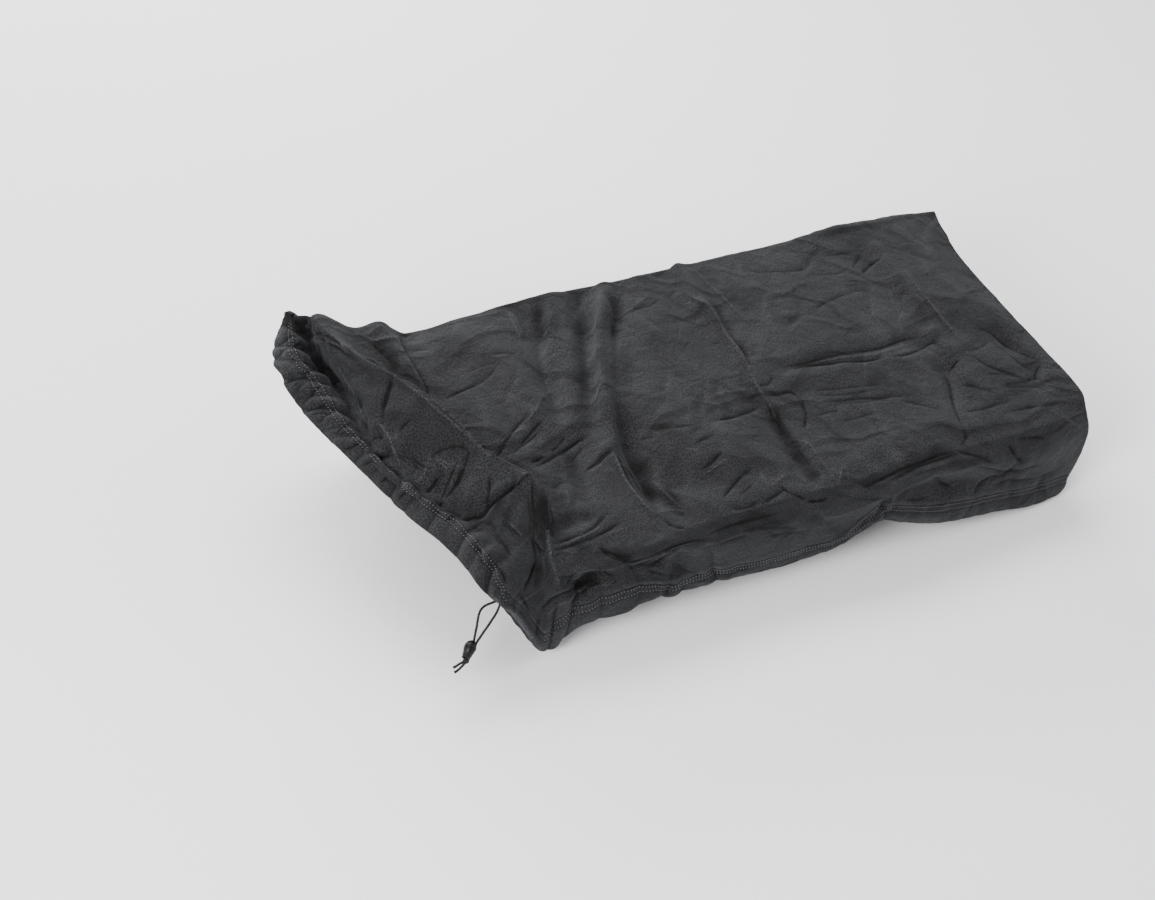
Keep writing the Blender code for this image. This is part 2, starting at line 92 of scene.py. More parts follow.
# Sections of the wall, cut from the top's edge down to the hem: share along that side's top
# edge, then the places of the edge, panel, valley, stitch and hem.
# Left side: from the sewn front corner (0) to the back corner (1), where the end has been drawn
# back over the top.
LEFT_SECTIONS = read_table("""
0 -272,-83,11 -311,-94,0 -337,-98,-17 -356,-97,-11 -376,-104,-22
0.13 -306,-42,22 -338,-56,8 -368,-68,-9 -379,-62,-1 -394,-63,-18
0.25 -327,5,37 -362,-12,18 -391,-34,-1 -397,-23,7 -410,-24,-8
0.37 -341,38,43 -374,22,26 -401,6,4 -407,14,12 -427,18,4
0.5 -358,65,47 -387,54,29 -402,38,8 -416,45,18 -441,64,8
0.63 -379,93,51 -393,86,30 -400,86,11 -421,86,26 -449,108,12
0.76 -392,122,54 -399,121,31 -405,121,14 -427,114,34 -450,146,15
0.88 -401,154,53 -404,150,34 -409,150,16 -434,138,42 -448,172,22
1 -405,181,50 -406,188,46 -412,192,44 -422,193,46 -427,187,57
""")

# Front wall, from the same sewn corner to the right end.
FRONT_SECTIONS = read_table("""
0 -272,-83,11 -311,-94,0 -337,-98,-17 -356,-97,-11 -376,-104,-22
0.035 -270,-100,2 -306,-113,-6 -334,-124,-13 -351,-128,-9 -367,-136,-25
0.07 -273,-122,-10 -303,-136,-12 -329,-154,-13 -345,-158,-14 -358,-168,-36
0.105 -281,-144,-18 -303,-158,-22 -326,-176,-28 -341,-182,-32 -343,-180,-54
0.14 -288,-158,-22 -302,-173,-42 -316,-180,-54 -322,-184,-60 -325,-182,-86
0.17 -278,-165,-23 -289,-181,-48 -296,-184,-76 -299,-186,-102 -303,-183,-124
0.2 -258,-169,-25 -272,-183,-42 -277,-180,-62 -282,-185,-87 -285,-182,-131
0.235 -238,-171,-26 -250,-185,-38 -252,-173,-58 -257,-185,-79 -261,-183,-109
0.262 -218,-172,-26 -222,-188,-36 -226,-176,-52 -228,-185,-77 -230,-184,-106
0.29 -198,-172,-26 -203,-189,-36 -205,-178,-50 -206,-185,-76 -208,-184,-107
0.322 -175,-172,-26 -178,-188,-35 -180,-181,-50 -180,-186,-79 -180,-184,-99
0.345 -158,-172,-26 -160,-188,-34 -162,-183,-52 -162,-186,-88 -163,-184,-103
0.38 -132,-172,-26 -134,-187,-36 -136,-186,-58 -137,-186,-83 -137,-184,-101
0.43 -96,-172,-26 -96,-186,-40 -96,-187,-62 -96,-185,-87 -96,-184,-103
0.48 -60,-172,-26 -60,-185,-42 -60,-187,-67 -60,-185,-91 -60,-184,-107
0.53 -24,-172,-26 -24,-185,-42 -24,-187,-67 -24,-185,-91 -24,-184,-108
0.58 12,-172,-26 12,-185,-42 12,-187,-66 12,-185,-91 12,-184,-105
0.62 38,-172,-26 40,-188,-40 40,-187,-65 38,-184,-92 38,-182,-104
0.645 58,-172,-26 60,-190,-40 60,-187,-60 57,-182,-83 56,-182,-97
0.672 77,-172,-26 80,-192,-38 79,-184,-54 75,-179,-74 74,-180,-90
0.7 98,-172,-26 100,-192,-36 98,-178,-52 94,-176,-73 90,-179,-89
0.74 127,-172,-26 129,-188,-36 128,-174,-58 128,-182,-81 128,-181,-104
0.78 156,-172,-25 158,-186,-36 158,-173,-62 160,-183,-89 162,-183,-114
0.88 232,-172,-26 234,-184,-48 232,-182,-74 230,-183,-98 228,-184,-121
0.95 290,-172,-26 290,-184,-52 289,-181,-82 288,-181,-105 288,-184,-130
1 345,-166,-27 351,-172,-52 349,-173,-80 344,-172,-114 338,-173,-138
""")

# Right end, from the front corner to the back corner.
RIGHT_SECTIONS = read_table("""
0 345,-166,-27 351,-172,-52 349,-173,-80 344,-172,-114 338,-173,-138
0.08 353,-142,-19 358,-144,-50 354,-144,-82 347,-144,-106 344,-144,-134
0.3 354,-66,-15 359,-66,-48 355,-66,-82 348,-66,-102 346,-66,-130
0.52 353,6,-9 360,6,-44 357,6,-80 348,6,-101 346,6,-128
0.8 353,102,1 360,102,-40 357,102,-78 348,102,-100 346,102,-127
0.94 358,148,8 361,148,-34 356,146,-74 348,145,-97 344,145,-126
1 364,171,12 362,174,-28 354,172,-70 344,169,-96 338,168,-127
""")

# Back wall, from the drawn-back left corner to the right end.
BACK_SECTIONS = read_table("""
0 -405,181,50 -406,188,46 -412,192,44 -422,193,46 -427,187,57
0.016 -394,180,39 -394,190,30 -398,198,24 -408,202,28 -416,204,40
0.04 -378,176,27 -380,187,14 -384,194,0 -392,202,-4 -402,207,-2
0.07 -356,173,19 -358,184,8 -362,189,-14 -368,191,-30 -377,193,-46
0.105 -328,172,24 -331,184,2 -335,186,-32 -340,186,-54 -345,187,-78
0.14 -302,172,8 -304,182,-14 -306,184,-52 -309,182,-78 -312,184,-104
0.3 -180,172,17 -180,182,-18 -180,182,-60 -180,180,-86 -180,183,-114
0.455 -62,172,15 -62,183,-18 -62,181,-62 -62,181,-88 -62,182,-117
0.74 152,172,16 152,182,-20 152,182,-62 152,180,-90 152,182,-119
0.83 222,175,19 222,186,-18 222,183,-62 222,180,-92 222,182,-121
0.96 326,172,15 326,182,-24 326,180,-68 326,178,-94 324,179,-124
1 364,171,12 362,174,-28 354,172,-70 344,169,-96 338,168,-127
""")

# How far down the wall the five places of a section lie, from edge (0) to hem (1).
WALL_KNOTS = (0.0, 0.30, 0.58, 0.80, 1.0)

# Folds of the top, each a soft ridge (positive rise) or trough (negative rise) along a line:
# its two ends, width and rise.
FOLDS = read_table("""
-316,176 -312,70 20 -4  # trough beside the raised end
-332,176 -330,128 22 7  # hump at the back edge
-352,172 -326,100 20 5  # fan fold back
-262,90 -226,-60 34 -6  # trough below the raised end
-250,172 -224,20 42 4  # soft ridge left third
-175,150 -195,48 22 -5  # left valley upper
-195,48 -206,-60 22 -5  # left valley lower
-140,172 -158,-40 30 5  # left ridge
-99,172 -184,-40 20 -6  # middle valley
-71,176 -116,50 18 8  # middle ridge back
-116,50 -172,-50 18 6  # middle ridge front
-60,172 -114,40 22 -5  # long valley back
-114,40 -148,-44 24 -6  # long valley middle
-148,-44 -140,-160 26 -7  # long valley front
-38,176 -48,80 30 4  # ridge at the back left
22,176 10,96 22 4.5  # ridge at the back right
-2,160 0,-150 20 -3.6  # packing crease left flank
16,172 16,-172 9 4  # packing crease left
236,120 222,-60 20 -4.5  # packing crease right flank
258,130 240,-90 10 4  # packing crease right
226,-70 188,-172 16 -4  # packing crease front right
60,-14 246,-24 14 -2.6  # cross crease
60,-30 246,-42 14 1.8  # cross crease lower lip
256,0 322,-40 26 -4.5  # right hollow back
322,-38 322,-100 22 -6  # right hollow front
344,20 346,-120 22 3  # right rim
-90,-60 -40,-130 46 6  # front pillow left
-14,-150 -110,-120 24 -5  # front trough
110,-150 190,-140 34 6  # front right swell
""")

# Distances over which the edges' own heights blend into the lie of the top.
RIDGE_FALL = 32.0
RIDGE_SHARPNESS = 1.5
FRONT_FALL = 40.0
BACK_FALL = 30.0
SHOULDER_FALL = 24.0
CORNER_BLEND = 30.0

# Shares of the length and of the depth over which folds fade in at the edges.
FADE_LEFT = 0.05
FADE_RIGHT = 0.03
FADE_FRONT = 0.06

# How fast a fold flattens to its side, and past its ends.
FOLD_FLATTEN = 1.6
FOLD_END_REACH = 0.7

# Below the edge: how far the plain inner face looks for folds of the outer one, how deep they
# may push it, how thick the cloth is at its edge, and where it is turned over below the pleat
# at the front left corner.
INNER_REACH = 13.0
INNER_DEPTH = 9.0
EDGE_THICKNESS = 0.8
TUCK_THICKNESS = 3.0
# Length of a wall from edge to hem, for the flat pattern.
WALL_LENGTH = 112.0

# Where the wall ends and the turned-over hem begins, the two rows of stitches on it, its rows
# of cells, and how wide it gapes at its round lower edge and at its seam.
SEAM_DOWN = 0.78
STITCH_ROWS = (0.802, 0.850)
HEM_ROWS = 12
HEM_EDGE_GAP = 2.4
HEM_SEAM_GAP = 1.5
# The furrow that a row of stitches pulls: its depth and half its width, and the same for the
# painted shade in it.
STITCH_GROOVE = 0.5
GROOVE_WIDTH = 0.010
GROOVE_PAINTED_SHADE = 0.65
GROOVE_PAINTED_SHADE_WIDTH = 0.008
# How far a stitch lies across its row, how high it rides in widths, how deep its ends go, and
# where the twisted hem hides the stitches: from x, to x, nearer than y.
STITCH_SLANT = 0.22
STITCH_RIDE = 0.45
STITCH_DIVE = 0.55
STITCH_WAIST = 0.30
STITCH_GAP = (-341.0, -299.0, -165.0)

# ---------------------------------------------------------------- creases

# How a crease is laid on the sheet: the step along it, the share of its length over which it
# runs out at each end, how it swells along its way, how far another layer has to be away, and
# how near it the cells are fine.
CREASE_STEP = 4.0
CREASE_TAPER = 0.22
CREASE_SWELL = 0.22
LAYER_GAP = 14.0
FINE_REACH = 5.0
# How much deeper than measured from the light and dark lines each kind is laid, and how many
# widths it reaches.
CREASE_GAIN = {"soft": 1.25, "sharp": 1.2, "hollow": 1.0}
CREASE_REACH = {"soft": 1.8, "sharp": 4.0, "hollow": 2.0}
# Painted shade: depth at which a crease is painted fully dark at its bottom, and how wide the
# painted shade is there (wider for the painted highlight on a crest).
CREASE_FULL_DEPTH = 2.6
CREASE_PAINTED_LIGHT_WIDTH = 1.7
# Thin painted shade and highlight lines along sharp creases: their layers, the reach of their
# distances and full depth.
LINE_LAYERS = 3
LINE_REACH = 8.0
LINE_FULL_DEPTH = 0.9

# Parts of the sheet that a crease may lie on: 0 top, 1 left, 2 right, 3 front, 4 back.
CREASE_SIDES = {"top": (0, 2, 3, 4), "left": (1,), "front": (0, 3), "corner": (0, 1, 3)}

# Creases. A line of words says where those below it lie, their kind and their width. Each
# crease has its rise, its first place, and the steps on to the other places it passes.
CREASE_TABLE = read_table("""
# left third of the top
top sharp 3
-1.3 -307,58,5 26,7,1 31,11,1 18,12,5
top sharp 2.5
-0.8 -268,91,6 18,1,2 17,-2,4
-0.8 -238,103,13 10,-3,0 20,-6,-2
top sharp 3
1 -262,167,13 49,-4,3 18,-2,-1
top sharp 4
1.5 -191,165,15 3,-14,-3 -1,-19,-2 -3,-13,-1
top sharp 3
0.9 -282,-21,-1 17,11,0 24,8,-1
-2 -258,-24,-4 16,12,0 19,11,4
-1.3 -256,-47,-9 7,2,-1 6,2,0
top sharp 3.5
1.2 -191,50,-1 -7,-9,-1 -16,-16,6 -10,-12,-1 -15,-10,-4
top soft 12
-3 -169,152,12 -10,-49,-5 -4,-30,-3 -10,-47,-4 -6,-37,-4
top soft 6
1.5 -180,51,3 -7,-33,-2 5,-17,-2
# middle folds of the top
top soft 14
-2.5 -107,137,9 -29,-57,-2 -25,-57,-4 -18,-49,-9 -4,-23,-3
top soft 9
3.2 -84,160,17 -10,-26,-1 -26,-49,-7 -23,-53,-2 -15,-46,-3 -6,-23,-6 -3,-20,-4
-2.6 -71,147,14 -8,-22,-1 -25,-46,-1
top soft 12
-3.5 -135,9,6 -9,-28,-7 -3,-22,-11 -4,-27,-4 -3,-25,-3 1,-25,-3 4,-22,-4 10,-11,-2
top sharp 3.5
2.2 -174,-62,-6 -2,-23,-7 0,-25,-3 1,-19,-3 4,-14,-2 3,-8,-1
top sharp 3
-1.8 -163,-68,-12 -2,-19,-3 0,-22,-3 2,-19,-2 4,-17,-3
-1.6 -208,-70,-18 18,6,6 17,4,6
-1.4 -223,-44,-13 23,11,2 16,4,3
top sharp 2.5
-0.8 -229,-38,-11 22,14,3
top sharp 3
-1 -215,-53,-16 21,14,3
-1.5 -250,-86,-14 9,6,-1 8,4,-1
top sharp 4
1.5 -256,-94,-14 17,0,-1 -2,-10,-1 -7,-9,0
top sharp 3
-1.8 -281,-152,-20 21,3,0 23,3,0 29,17,2
1.2 -282,-155,-20 31,3,-1 25,7,1
-1.6 -284,-159,-21 31,3,-1 30,4,1 23,8,1
top soft 10
-3 -278,-146,-19 24,14,1 15,1,0 19,-2,-1
top sharp 3
-1.1 -62,120,13 20,-3,3 14,8,-1
-0.9 -15,126,12 14,12,0
top sharp 2.5
-0.8 -136,-50,-12 14,-8,5
top sharp 3
-1 -122,-49,-6 27,-8,4 22,-3,-2
top sharp 3.5
-2 -55,-58,-5 26,0,-3 33,8,-2
top sharp 3
-1.5 -3,-36,-8 13,-2,3
top sharp 3.5
-2.2 -94,-151,-22 14,10,1 18,9,2 15,5,4
top sharp 3
1.2 -42,-134,-17 1,-19,-4
-1 -92,-159,-23 7,-7,-2 13,-2,0 13,3,1
top soft 9
1.8 -64,-95,-8 1,-30,-8 4,-40,-8
# long packing crease, left
top sharp 3.5
2.2 5,136,14 6,-29,2 5,-14,0 2,-22,-4 -2,-25,-3 1,-26,-2 -1,-20,-2 -3,-12,-3
top sharp 3
-2 21,54,9 1,-20,-2 -1,-20,-2 -4,-20,-1
-1.4 14,-30,-1 11,1,-1 11,9,1
-1.5 14,-43,-4 17,-1,-2 14,-2,0 5,-16,-3
top soft 6
1.6 193,169,18 38,0,1 54,-1,-2 52,2,-3
top sharp 3
-1 83,140,13 33,-10,0 34,-8,-1 21,8,1
top sharp 3.5
1.5 13,-12,2 -1,-22,-5 1,-17,-3 -7,-35,-9
top sharp 3
1.2 26,163,19 9,-12,-3 3,-19,-2 5,-19,-2 4,-29,-3 7,-23,-1
1.2 64,156,14 8,-12,0 11,-9,-1 21,-3,0
top soft 12
-5 11,-59,-8 -1,-28,-5 0,-29,-3 1,-26,-4 2,-20,-3
top sharp 3.5
1.8 11,-101,-14 12,-14,-1 2,-21,-3 1,-19,-4 4,-18,-5
top sharp 3
-2 12,-48,-6 -3,-23,-5 -1,-29,-4
-1.8 48,-58,-8 -1,-9,-2 -3,-11,-1 -13,-19,-3
1.2 -5,-144,-24 6,-13,-2
1 29,-171,-26 17,18,5 -4,-17,-4
1.2 -45,-138,-19 5,-14,-2 24,9,0 12,1,-3
-1 -75,-152,-21 17,5,1
# packing crease, right, and the cross crease
top sharp 3.5
2 267,95,11 -3,-26,-2 -2,-28,-3 2,-28,-5 2,-22,-5 0,-25,-1
top soft 12
-3 246,69,8 -4,-26,-3 1,-28,-3 -2,-25,-4
top sharp 3
-1.5 246,-62,-7 -9,-3,-3 -8,-2,-6
top sharp 4
-2.2 225,-67,-17 -5,-19,0 -18,-37,0 -10,-28,-2
top sharp 3
-1.4 50,-10,-1 31,-2,-1 47,-1,0 44,-4,-1 41,4,-1 19,0,-2 13,2,6
top sharp 3.5
-2.4 60,-14,-2 35,-4,-1 35,-8,0 32,-6,0 13,1,0
top sharp 3
1 74,-12,-2 52,-6,-1 42,-6,-1 48,5,-3
-1.8 171,-34,-3 28,-2,-1 36,12,-3 4,-18,3
-1 69,-50,-7 29,-6,-1 34,-6,-1 13,-3,0
-0.9 66,-57,-8 41,-9,-2 32,-5,0
-1 68,-74,-11 24,-1,0 21,-6,-1 35,-3,0
-0.9 53,-83,-12 15,1,0 14,-2,0
-0.9 64,-97,-14 33,-2,0 22,0,0
-1.2 152,-92,-13 17,-12,-1 16,-17,0
-1.1 205,-127,-17 22,-5,1 23,2,-2 17,0,0
-0.9 269,-108,-15 22,-6,-1 23,-7,-3
-0.9 265,-87,-13 26,-9,-1 13,-8,-3
-2 300,-110,-17 11,4,-2 14,0,-1
-1.4 335,-91,-16 -10,-7,-3 -7,-7,-1
top sharp 4
-2.2 294,-23,-7 15,-3,-3 8,-10,-5 6,-15,-2 4,-14,1 11,-21,1
top sharp 3
-1.2 263,-50,-7 19,0,-1 21,10,-3
-1.4 266,-57,-8 7,-18,-3 10,-12,-2 20,-11,-3
-1.5 303,-40,-11 7,-22,-3 8,-23,-4 5,-12,-1
top soft 6
-1.5 147,116,12 9,7,0 22,15,2 16,9,1
top sharp 3
-1 185,132,13 7,3,1 17,-3,-1 20,1,-2
-1.2 235,129,9 -9,-9,0 -16,-13,2
-1.8 216,95,9 23,15,-2 13,1,6
-1 130,56,7 10,4,1 31,8,0 30,3,0
-0.8 157,111,11 30,-7,0 16,1,0
top soft 6
-1.8 127,100,11 -4,-16,-2 -7,-26,-2 -23,-14,-1 -7,-7,0
top sharp 3
1.5 346,170,13 5,-11,-5 1,-20,-2 1,-18,-2
-1.2 194,-147,-18 -1,-11,-4 -14,-10,-2
# front wall, right half
front sharp 3
-3.4 50,-181,-32 23,3,3 28,4,2 26,2,1 25,1,1 19,-1,0
-2.4 77,-183,-31 24,4,2 26,4,1 25,0,1 21,1,0
-1.8 171,-172,-25 15,-5,-5 16,-5,-7 17,-2,-11
front soft 10
3 61,-173,-26 45,8,3 46,3,2 24,-3,-2
front sharp 3.5
-2.5 200,-182,-89 9,2,13 13,-1,5 15,-1,-1 10,-2,6 1,-1,9
-2 210,-182,-89 15,0,3 17,0,4 20,0,-5 29,2,-7 18,2,1 12,1,7
front sharp 3
-1.8 236,-176,-32 9,-7,-14 13,-2,-14
-1.2 247,-175,-31 17,-1,-1 23,-3,-6
-1.2 113,-178,-70 20,-2,-4 16,2,-1
front sharp 5
3 94,-192,-35 1,16,-38 -25,-4,-10 -21,-2,-12
front sharp 3
1.5 90,-185,-31 -18,0,-27 -21,0,-19
1.2 193,-177,-68 -1,-4,-16
-2.2 -11,-177,-31 15,-2,-3 9,0,1
-1.6 -59,-169,-25 16,4,1 17,5,1
front soft 7
-2 -23,-183,-39 38,-4,-18 25,3,-33
front sharp 3
1.5 41,-183,-94 3,-2,14 8,-1,10
front soft 7
-2.2 -129,-183,-32 40,3,-1 46,0,-2 30,0,1
front sharp 3
-1 -128,-183,-32 40,4,0 45,-1,-2
-0.8 -86,-185,-40 30,-1,-5 36,-1,-11
# front wall, left half
front soft 9
-6 -280,-176,-36 25,-7,-7 22,8,-12
front sharp 4
-3 -304,-183,-71 16,0,11 29,8,-3 21,-1,3
2.5 -302,-184,-77 15,1,7 23,5,3 19,0,2 18,-3,0
front sharp 3
-1.5 -237,-167,-25 13,-10,-4 16,-8,-3
front sharp 4
-5 -222,-187,-35 21,-2,-1 17,1,0 14,2,4 23,1,0 17,-1,-3
front sharp 3
-2.5 -195,-180,-54 17,-1,1 13,-5,13 14,-2,4
front soft 8
3 -221,-179,-29 32,-1,-1 30,2,2
front sharp 3
-1.2 -161,-184,-64 18,-2,-10 13,0,-10
-1.2 -189,-182,-60 15,-2,-8 10,-1,-6
# left end
left sharp 4
-2.5 -404,158,38 6,-23,7 7,-22,2 7,-17,1
left sharp 3
-1.8 -361,61,44 -6,-9,-5 -10,-12,-8 -3,-7,-4
1.3 -390,42,22 4,-16,-1 3,-17,-5 -1,-16,-5 1,-14,-5
0.8 -384,25,21 1,-11,-3 1,-11,-3
-1.5 -407,-7,6 12,3,-1 9,-2,5
-1.2 -355,-27,14 11,0,4 15,-3,3 10,-8,0
1 -351,-29,15 9,-14,-3 13,-9,0 21,-10,1
left sharp 3.5
-1.8 -320,-39,20 -8,-11,-7 -9,-8,-6 -12,-8,-9
left sharp 3
-1.8 -358,-51,3 -12,-5,-7
left soft 5
-2 -350,-41,10 -5,-11,-6 -3,-9,-6
left soft 11
-3 -368,10,24 0,-21,-8 3,-25,-9
corner sharp 3
-3 -260,-61,-10 -27,-26,17 -17,-5,-4 -17,-3,-8 -8,-3,-8 -7,3,-2 -20,1,5
corner soft 6
1.6 -284,-81,13 -22,-4,-8 -20,-3,-9 -12,0,-6
corner sharp 3
-1 -349,-114,-10 15,11,-5 10,-12,4
-1.4 -352,-134,-10 1,-13,-4 -2,-9,-6
-1 -327,-135,-12 3,-21,-3
1 -312,-117,-8 3,-10,-1 4,-11,-3
-1.2 -327,-106,-12 1,-15,0 -4,-16,0
left hollow 9
-5 -416,191,44 0,-11,-6 4,-6,-6 4,-6,-5
left hollow 6
-5 -420,157,33 4,-8,-9 6,-5,-9 5,-16,-1 4,-19,0 2,-14,-2
left hollow 4
-3.5 -399,103,16 3,-21,3 1,-18,2 -1,-14,-4 -2,-16,-5 -1,-14,-4
left sharp 3
-2 -410,173,30 6,-10,10 2,-11,8
left sharp 3.5
1.8 -408,169,28 7,-26,15 9,-23,9 4,-13,-4
left sharp 3
-1.6 -402,152,47 6,-18,4 4,-14,0 5,-15,-2
1.2 -394,87,29 -1,-15,-9 -1,-20,-4 -1,-22,-4
-1.8 -343,100,19 -21,-41,23 -9,-11,-7 -7,-12,-7 -5,-12,-7
-1.2 -374,10,21 5,2,4 10,2,4
-1.4 -397,21,9 5,-2,4 4,-6,2
-2 -408,-6,5 12,5,0 9,-6,4
-1.5 -398,-27,4 11,-1,-2
left soft 9
-4 -372,0,19 1,-25,-9 2,-21,-9 3,-19,-8
left soft 7
-3 -349,-41,11 -5,-13,-8 -8,-13,-10
left sharp 3
-2.2 -333,-53,11 -7,-9,-6 -10,-4,-7 -7,-2,-4
-1.8 -337,-47,12 -13,-11,-10 -12,-11,-10
-1.8 -310,-68,10 -6,-14,-6 -7,-11,-10
-1.4 -372,-55,-4 10,4,5 8,3,5
1.2 -355,-27,14 -10,-9,-7 -12,-10,-9
left soft 6
2 -322,-63,10 -10,-13,-9 -10,-10,-12
left sharp 3
-1.2 -372,-17,12 6,-10,-2 6,-12,-2
top sharp 3.5
-2.6 -313,166,11 -2,-20,0 -1,-22,3 0,-23,-2 -1,-27,-5 -16,-55,33
1.4 -315,167,13 -7,-29,4 -1,-23,1 1,-19,-3 0,-20,-6
top sharp 3
-1 -309,141,9 8,-4,1 10,-3,1
1.3 -365,164,31 12,-8,-3 5,-10,-1 14,-2,1 21,19,-17
1 -353,156,28 10,3,4 10,5,0
-1.2 -350,142,26 5,-16,-2 4,-12,-2
top soft 7
-2.5 -335,124,26 -4,-16,-5 -20,-53,22
top sharp 3
-1.6 -281,-23,-2 15,10,1 19,16,0 17,11,3
-1.4 -305,-57,16 24,29,-19 14,13,1
-1.4 -257,-46,-9 13,3,-1 7,2,-1
-1.5 -294,-67,15 30,38,-20 19,10,0 18,9,3
1.2 -286,-76,15 6,-5,0 19,20,-25
corner sharp 3
-2 -272,-83,11 -17,-4,-4 -17,-5,-5
-1.4 -328,-181,-38 7,0,-13 5,-3,-15
-1.6 -345,-156,-13 4,-11,-4 3,-12,-9
-1.2 -318,-119,-10 6,-9,0 4,-9,-2
-1.4 -358,-116,-12 10,5,1 13,7,-4
corner hollow 4
-3 -348,-178,-45 12,-4,-17 11,0,-21 11,-1,-20
corner soft 6
2.2 -351,-172,-33 12,-11,-13 18,-1,-28 16,-1,-29
corner sharp 4
1.8 -353,-172,-37 11,-10,-9 15,-1,-20 13,-1,-26 13,0,-28
front hollow 6
-4.5 -287,-178,-42 11,-5,-2 17,9,-14 14,0,0 13,-2,1
front hollow 3
-3.5 -226,-187,-36 29,8,-12 15,-4,4 9,-4,10
front sharp 3
-1.8 -237,-167,-25 8,-11,-4 10,-7,-3
-1.6 -222,-183,-31 13,5,-18 6,-1,-8
1.2 -268,-178,-63 7,3,3 13,2,1
front sharp 3.5
-2 -271,-183,-76 9,3,7 13,3,4 15,-1,3
# pinches across the drawn hem at the left end
left sharp 3
-2.2 -450,167,18 8,-14,16 9,-5,9 14,14,-9
-1.8 -444,171,29 9,-11,13 12,6,-2
-1.8 -449,127,14 9,-6,9 9,-9,7
-2.4 -444,93,13 7,0,5 6,2,6 8,-1,4
left sharp 3.5
-2.8 -436,121,28 7,-6,5 15,23,-14
left sharp 3
-2 -443,108,16 6,3,7
-1.8 -444,83,11 9,-4,5 10,-4,5
-1.8 -438,62,9 8,1,6 9,0,5
1.2 -419,104,29 3,-13,-4 3,-11,-3
-1.8 -412,72,20 -4,7,3 3,13,0
-1.6 -430,40,9 9,2,6 12,3,-1
-1.5 -426,20,5 11,-3,5 13,7,-3
-1.5 -416,-3,1 9,-3,5 9,4,-2
-1.6 -403,-27,-2 5,0,6
1.4 -391,-38,4 5,-13,-4 4,-11,-3
-1.5 -374,-79,-9 11,7,-1 7,2,4
-1.6 -366,-93,-12 7,1,2 13,5,-3
-1.8 -440,74,11 9,-6,5 5,-9,1
-1.6 -418,18,9 14,4,-3
-1.6 -406,-26,-5 7,-3,7 8,4,0
-1.4 -427,37,10 11,0,5
-1.4 -395,-49,-9 7,-2,8
-1.2 -384,-68,-10 12,5,2
corner sharp 3
1.6 -393,123,53 11,-13,-4 20,11,-24 9,-13,-4 -4,-47,25 9,-15,-3 7,-16,-2 8,-19,-4 7,-16,-4 7,-14,-4
  7,-15,-5 7,-14,-4 8,-16,-5
1 -294,-66,14 10,-10,1 22,15,-25
# long soft folds of the middle, from the back edge
top soft 7
3.4 -80,160,19 -15,-33,-3 -19,-33,-5 -25,-55,-4 -13,-38,0 -7,-29,-7 -11,-31,-6
top soft 8
-3 -65,152,14 -19,-42,-3 -21,-39,0 -20,-40,-5 -12,-34,-3
top soft 10
-3.4 -100,156,10 -19,-46,-2 -20,-46,-2 -24,-56,-4 -15,-44,-9
top soft 8
2.6 -144,158,20 -27,-60,-10 -16,-44,-10 -8,-45,-1 -4,-30,-6
-3.2 -157,159,17 -10,-28,-5 -12,-35,-5 -8,-30,-5 -9,-42,-3 -7,-29,-2
top sharp 3
1.2 -191,161,14 -2,-23,-2 -3,-26,-3
-2 -258,-54,-9 21,7,-3 20,8,0 15,5,1 14,5,2
-1.8 -200,-69,-16 14,3,5 13,4,5
1.4 -174,-64,-7 -1,-20,-6 -1,-17,-2 3,-26,-4 4,-22,-3
-1.4 -170,-64,-8 -2,-19,-5 -1,-22,-3 2,-22,-3
1 -168,-148,-22 12,5,-2 11,2,-3 9,-5,0 3,-11,0
top soft 12
-4 -152,-46,-12 -1,-30,-5 -2,-32,-4 -3,-28,-2
top hollow 6
-2.6 10,-63,-10 -2,-31,-4 0,-30,-4 1,-27,-5 2,-17,-2
top hollow 5
-1.6 24,39,7 -2,-20,-1 -5,-22,-2
top hollow 7
-1.6 -157,159,18 -9,-29,-6 -9,-28,-4
top hollow 6
-1.6 -68,144,13 -13,-31,-2 -17,-26,1
top hollow 9
-1.8 -151,-62,-16 -1,-26,-2 -1,-24,-4 -1,-17,-1
top hollow 7
-1.5 26,105,14 -3,-33,-4 -4,-27,-1
front hollow 4
-3 -226,-173,-27 6,-9,-4 10,-7,-4 15,0,-2 14,2,3 13,0,1
front sharp 3
-2.6 -286,-176,-38 14,-5,-1 18,-3,-2 22,9,-13 12,-4,-6
2.2 43,-183,-92 12,1,5 14,2,4 14,3,6 14,1,9
top hollow 8
-2.2 -140,-109,-23 0,-18,-3 2,-18,-1 3,-15,0
-1.7 -212,-37,-12 -4,-24,-6 -7,-30,1 -6,-23,0
top sharp 3
1.4 -146,-99,-21 5,-17,-3 4,-19,-2 6,-17,-1
top hollow 7
-1.3 320,-36,-15 5,-16,-1 3,-21,0 2,-18,-1
top hollow 6
-1.3 -125,-46,-7 11,-5,3 17,-2,2
top sharp 3
-1.6 -162,-156,-24 8,-10,-2 12,-7,0
-1.4 -98,-110,-17 14,2,4 15,7,4
1 -96,-116,-18 14,3,3 15,3,4
-1.3 248,-143,-19 23,-1,-1 25,-2,0 22,-3,-1
-1.2 275,-107,-15 33,-4,-3 35,-9,1
1.3 305,-155,-22 8,-13,-4 16,-4,-10 13,-1,-11
front sharp 3
-1.6 131,-188,-35 31,14,-30 16,-4,-11
-1.6 175,-182,-32 30,-2,-17 36,1,-20 28,-1,-1 24,1,2
top sharp 3
-1.3 -32,-154,-21 9,-13,-4 12,-9,-5
-1.3 67,-67,-10 33,-6,-1 37,-9,-1 34,-7,-1
-1.1 229,-91,-15 17,-13,1 17,-14,-3
-1.3 -99,-84,-8 18,3,2 17,3,0
1.1 -42,-28,-3 28,2,-1 21,-1,-1
front sharp 3
-1.4 -135,-187,-48 17,-1,2 20,1,1 21,0,-2
-1.3 -62,-187,-55 26,0,-3 24,0,-6
corner sharp 3
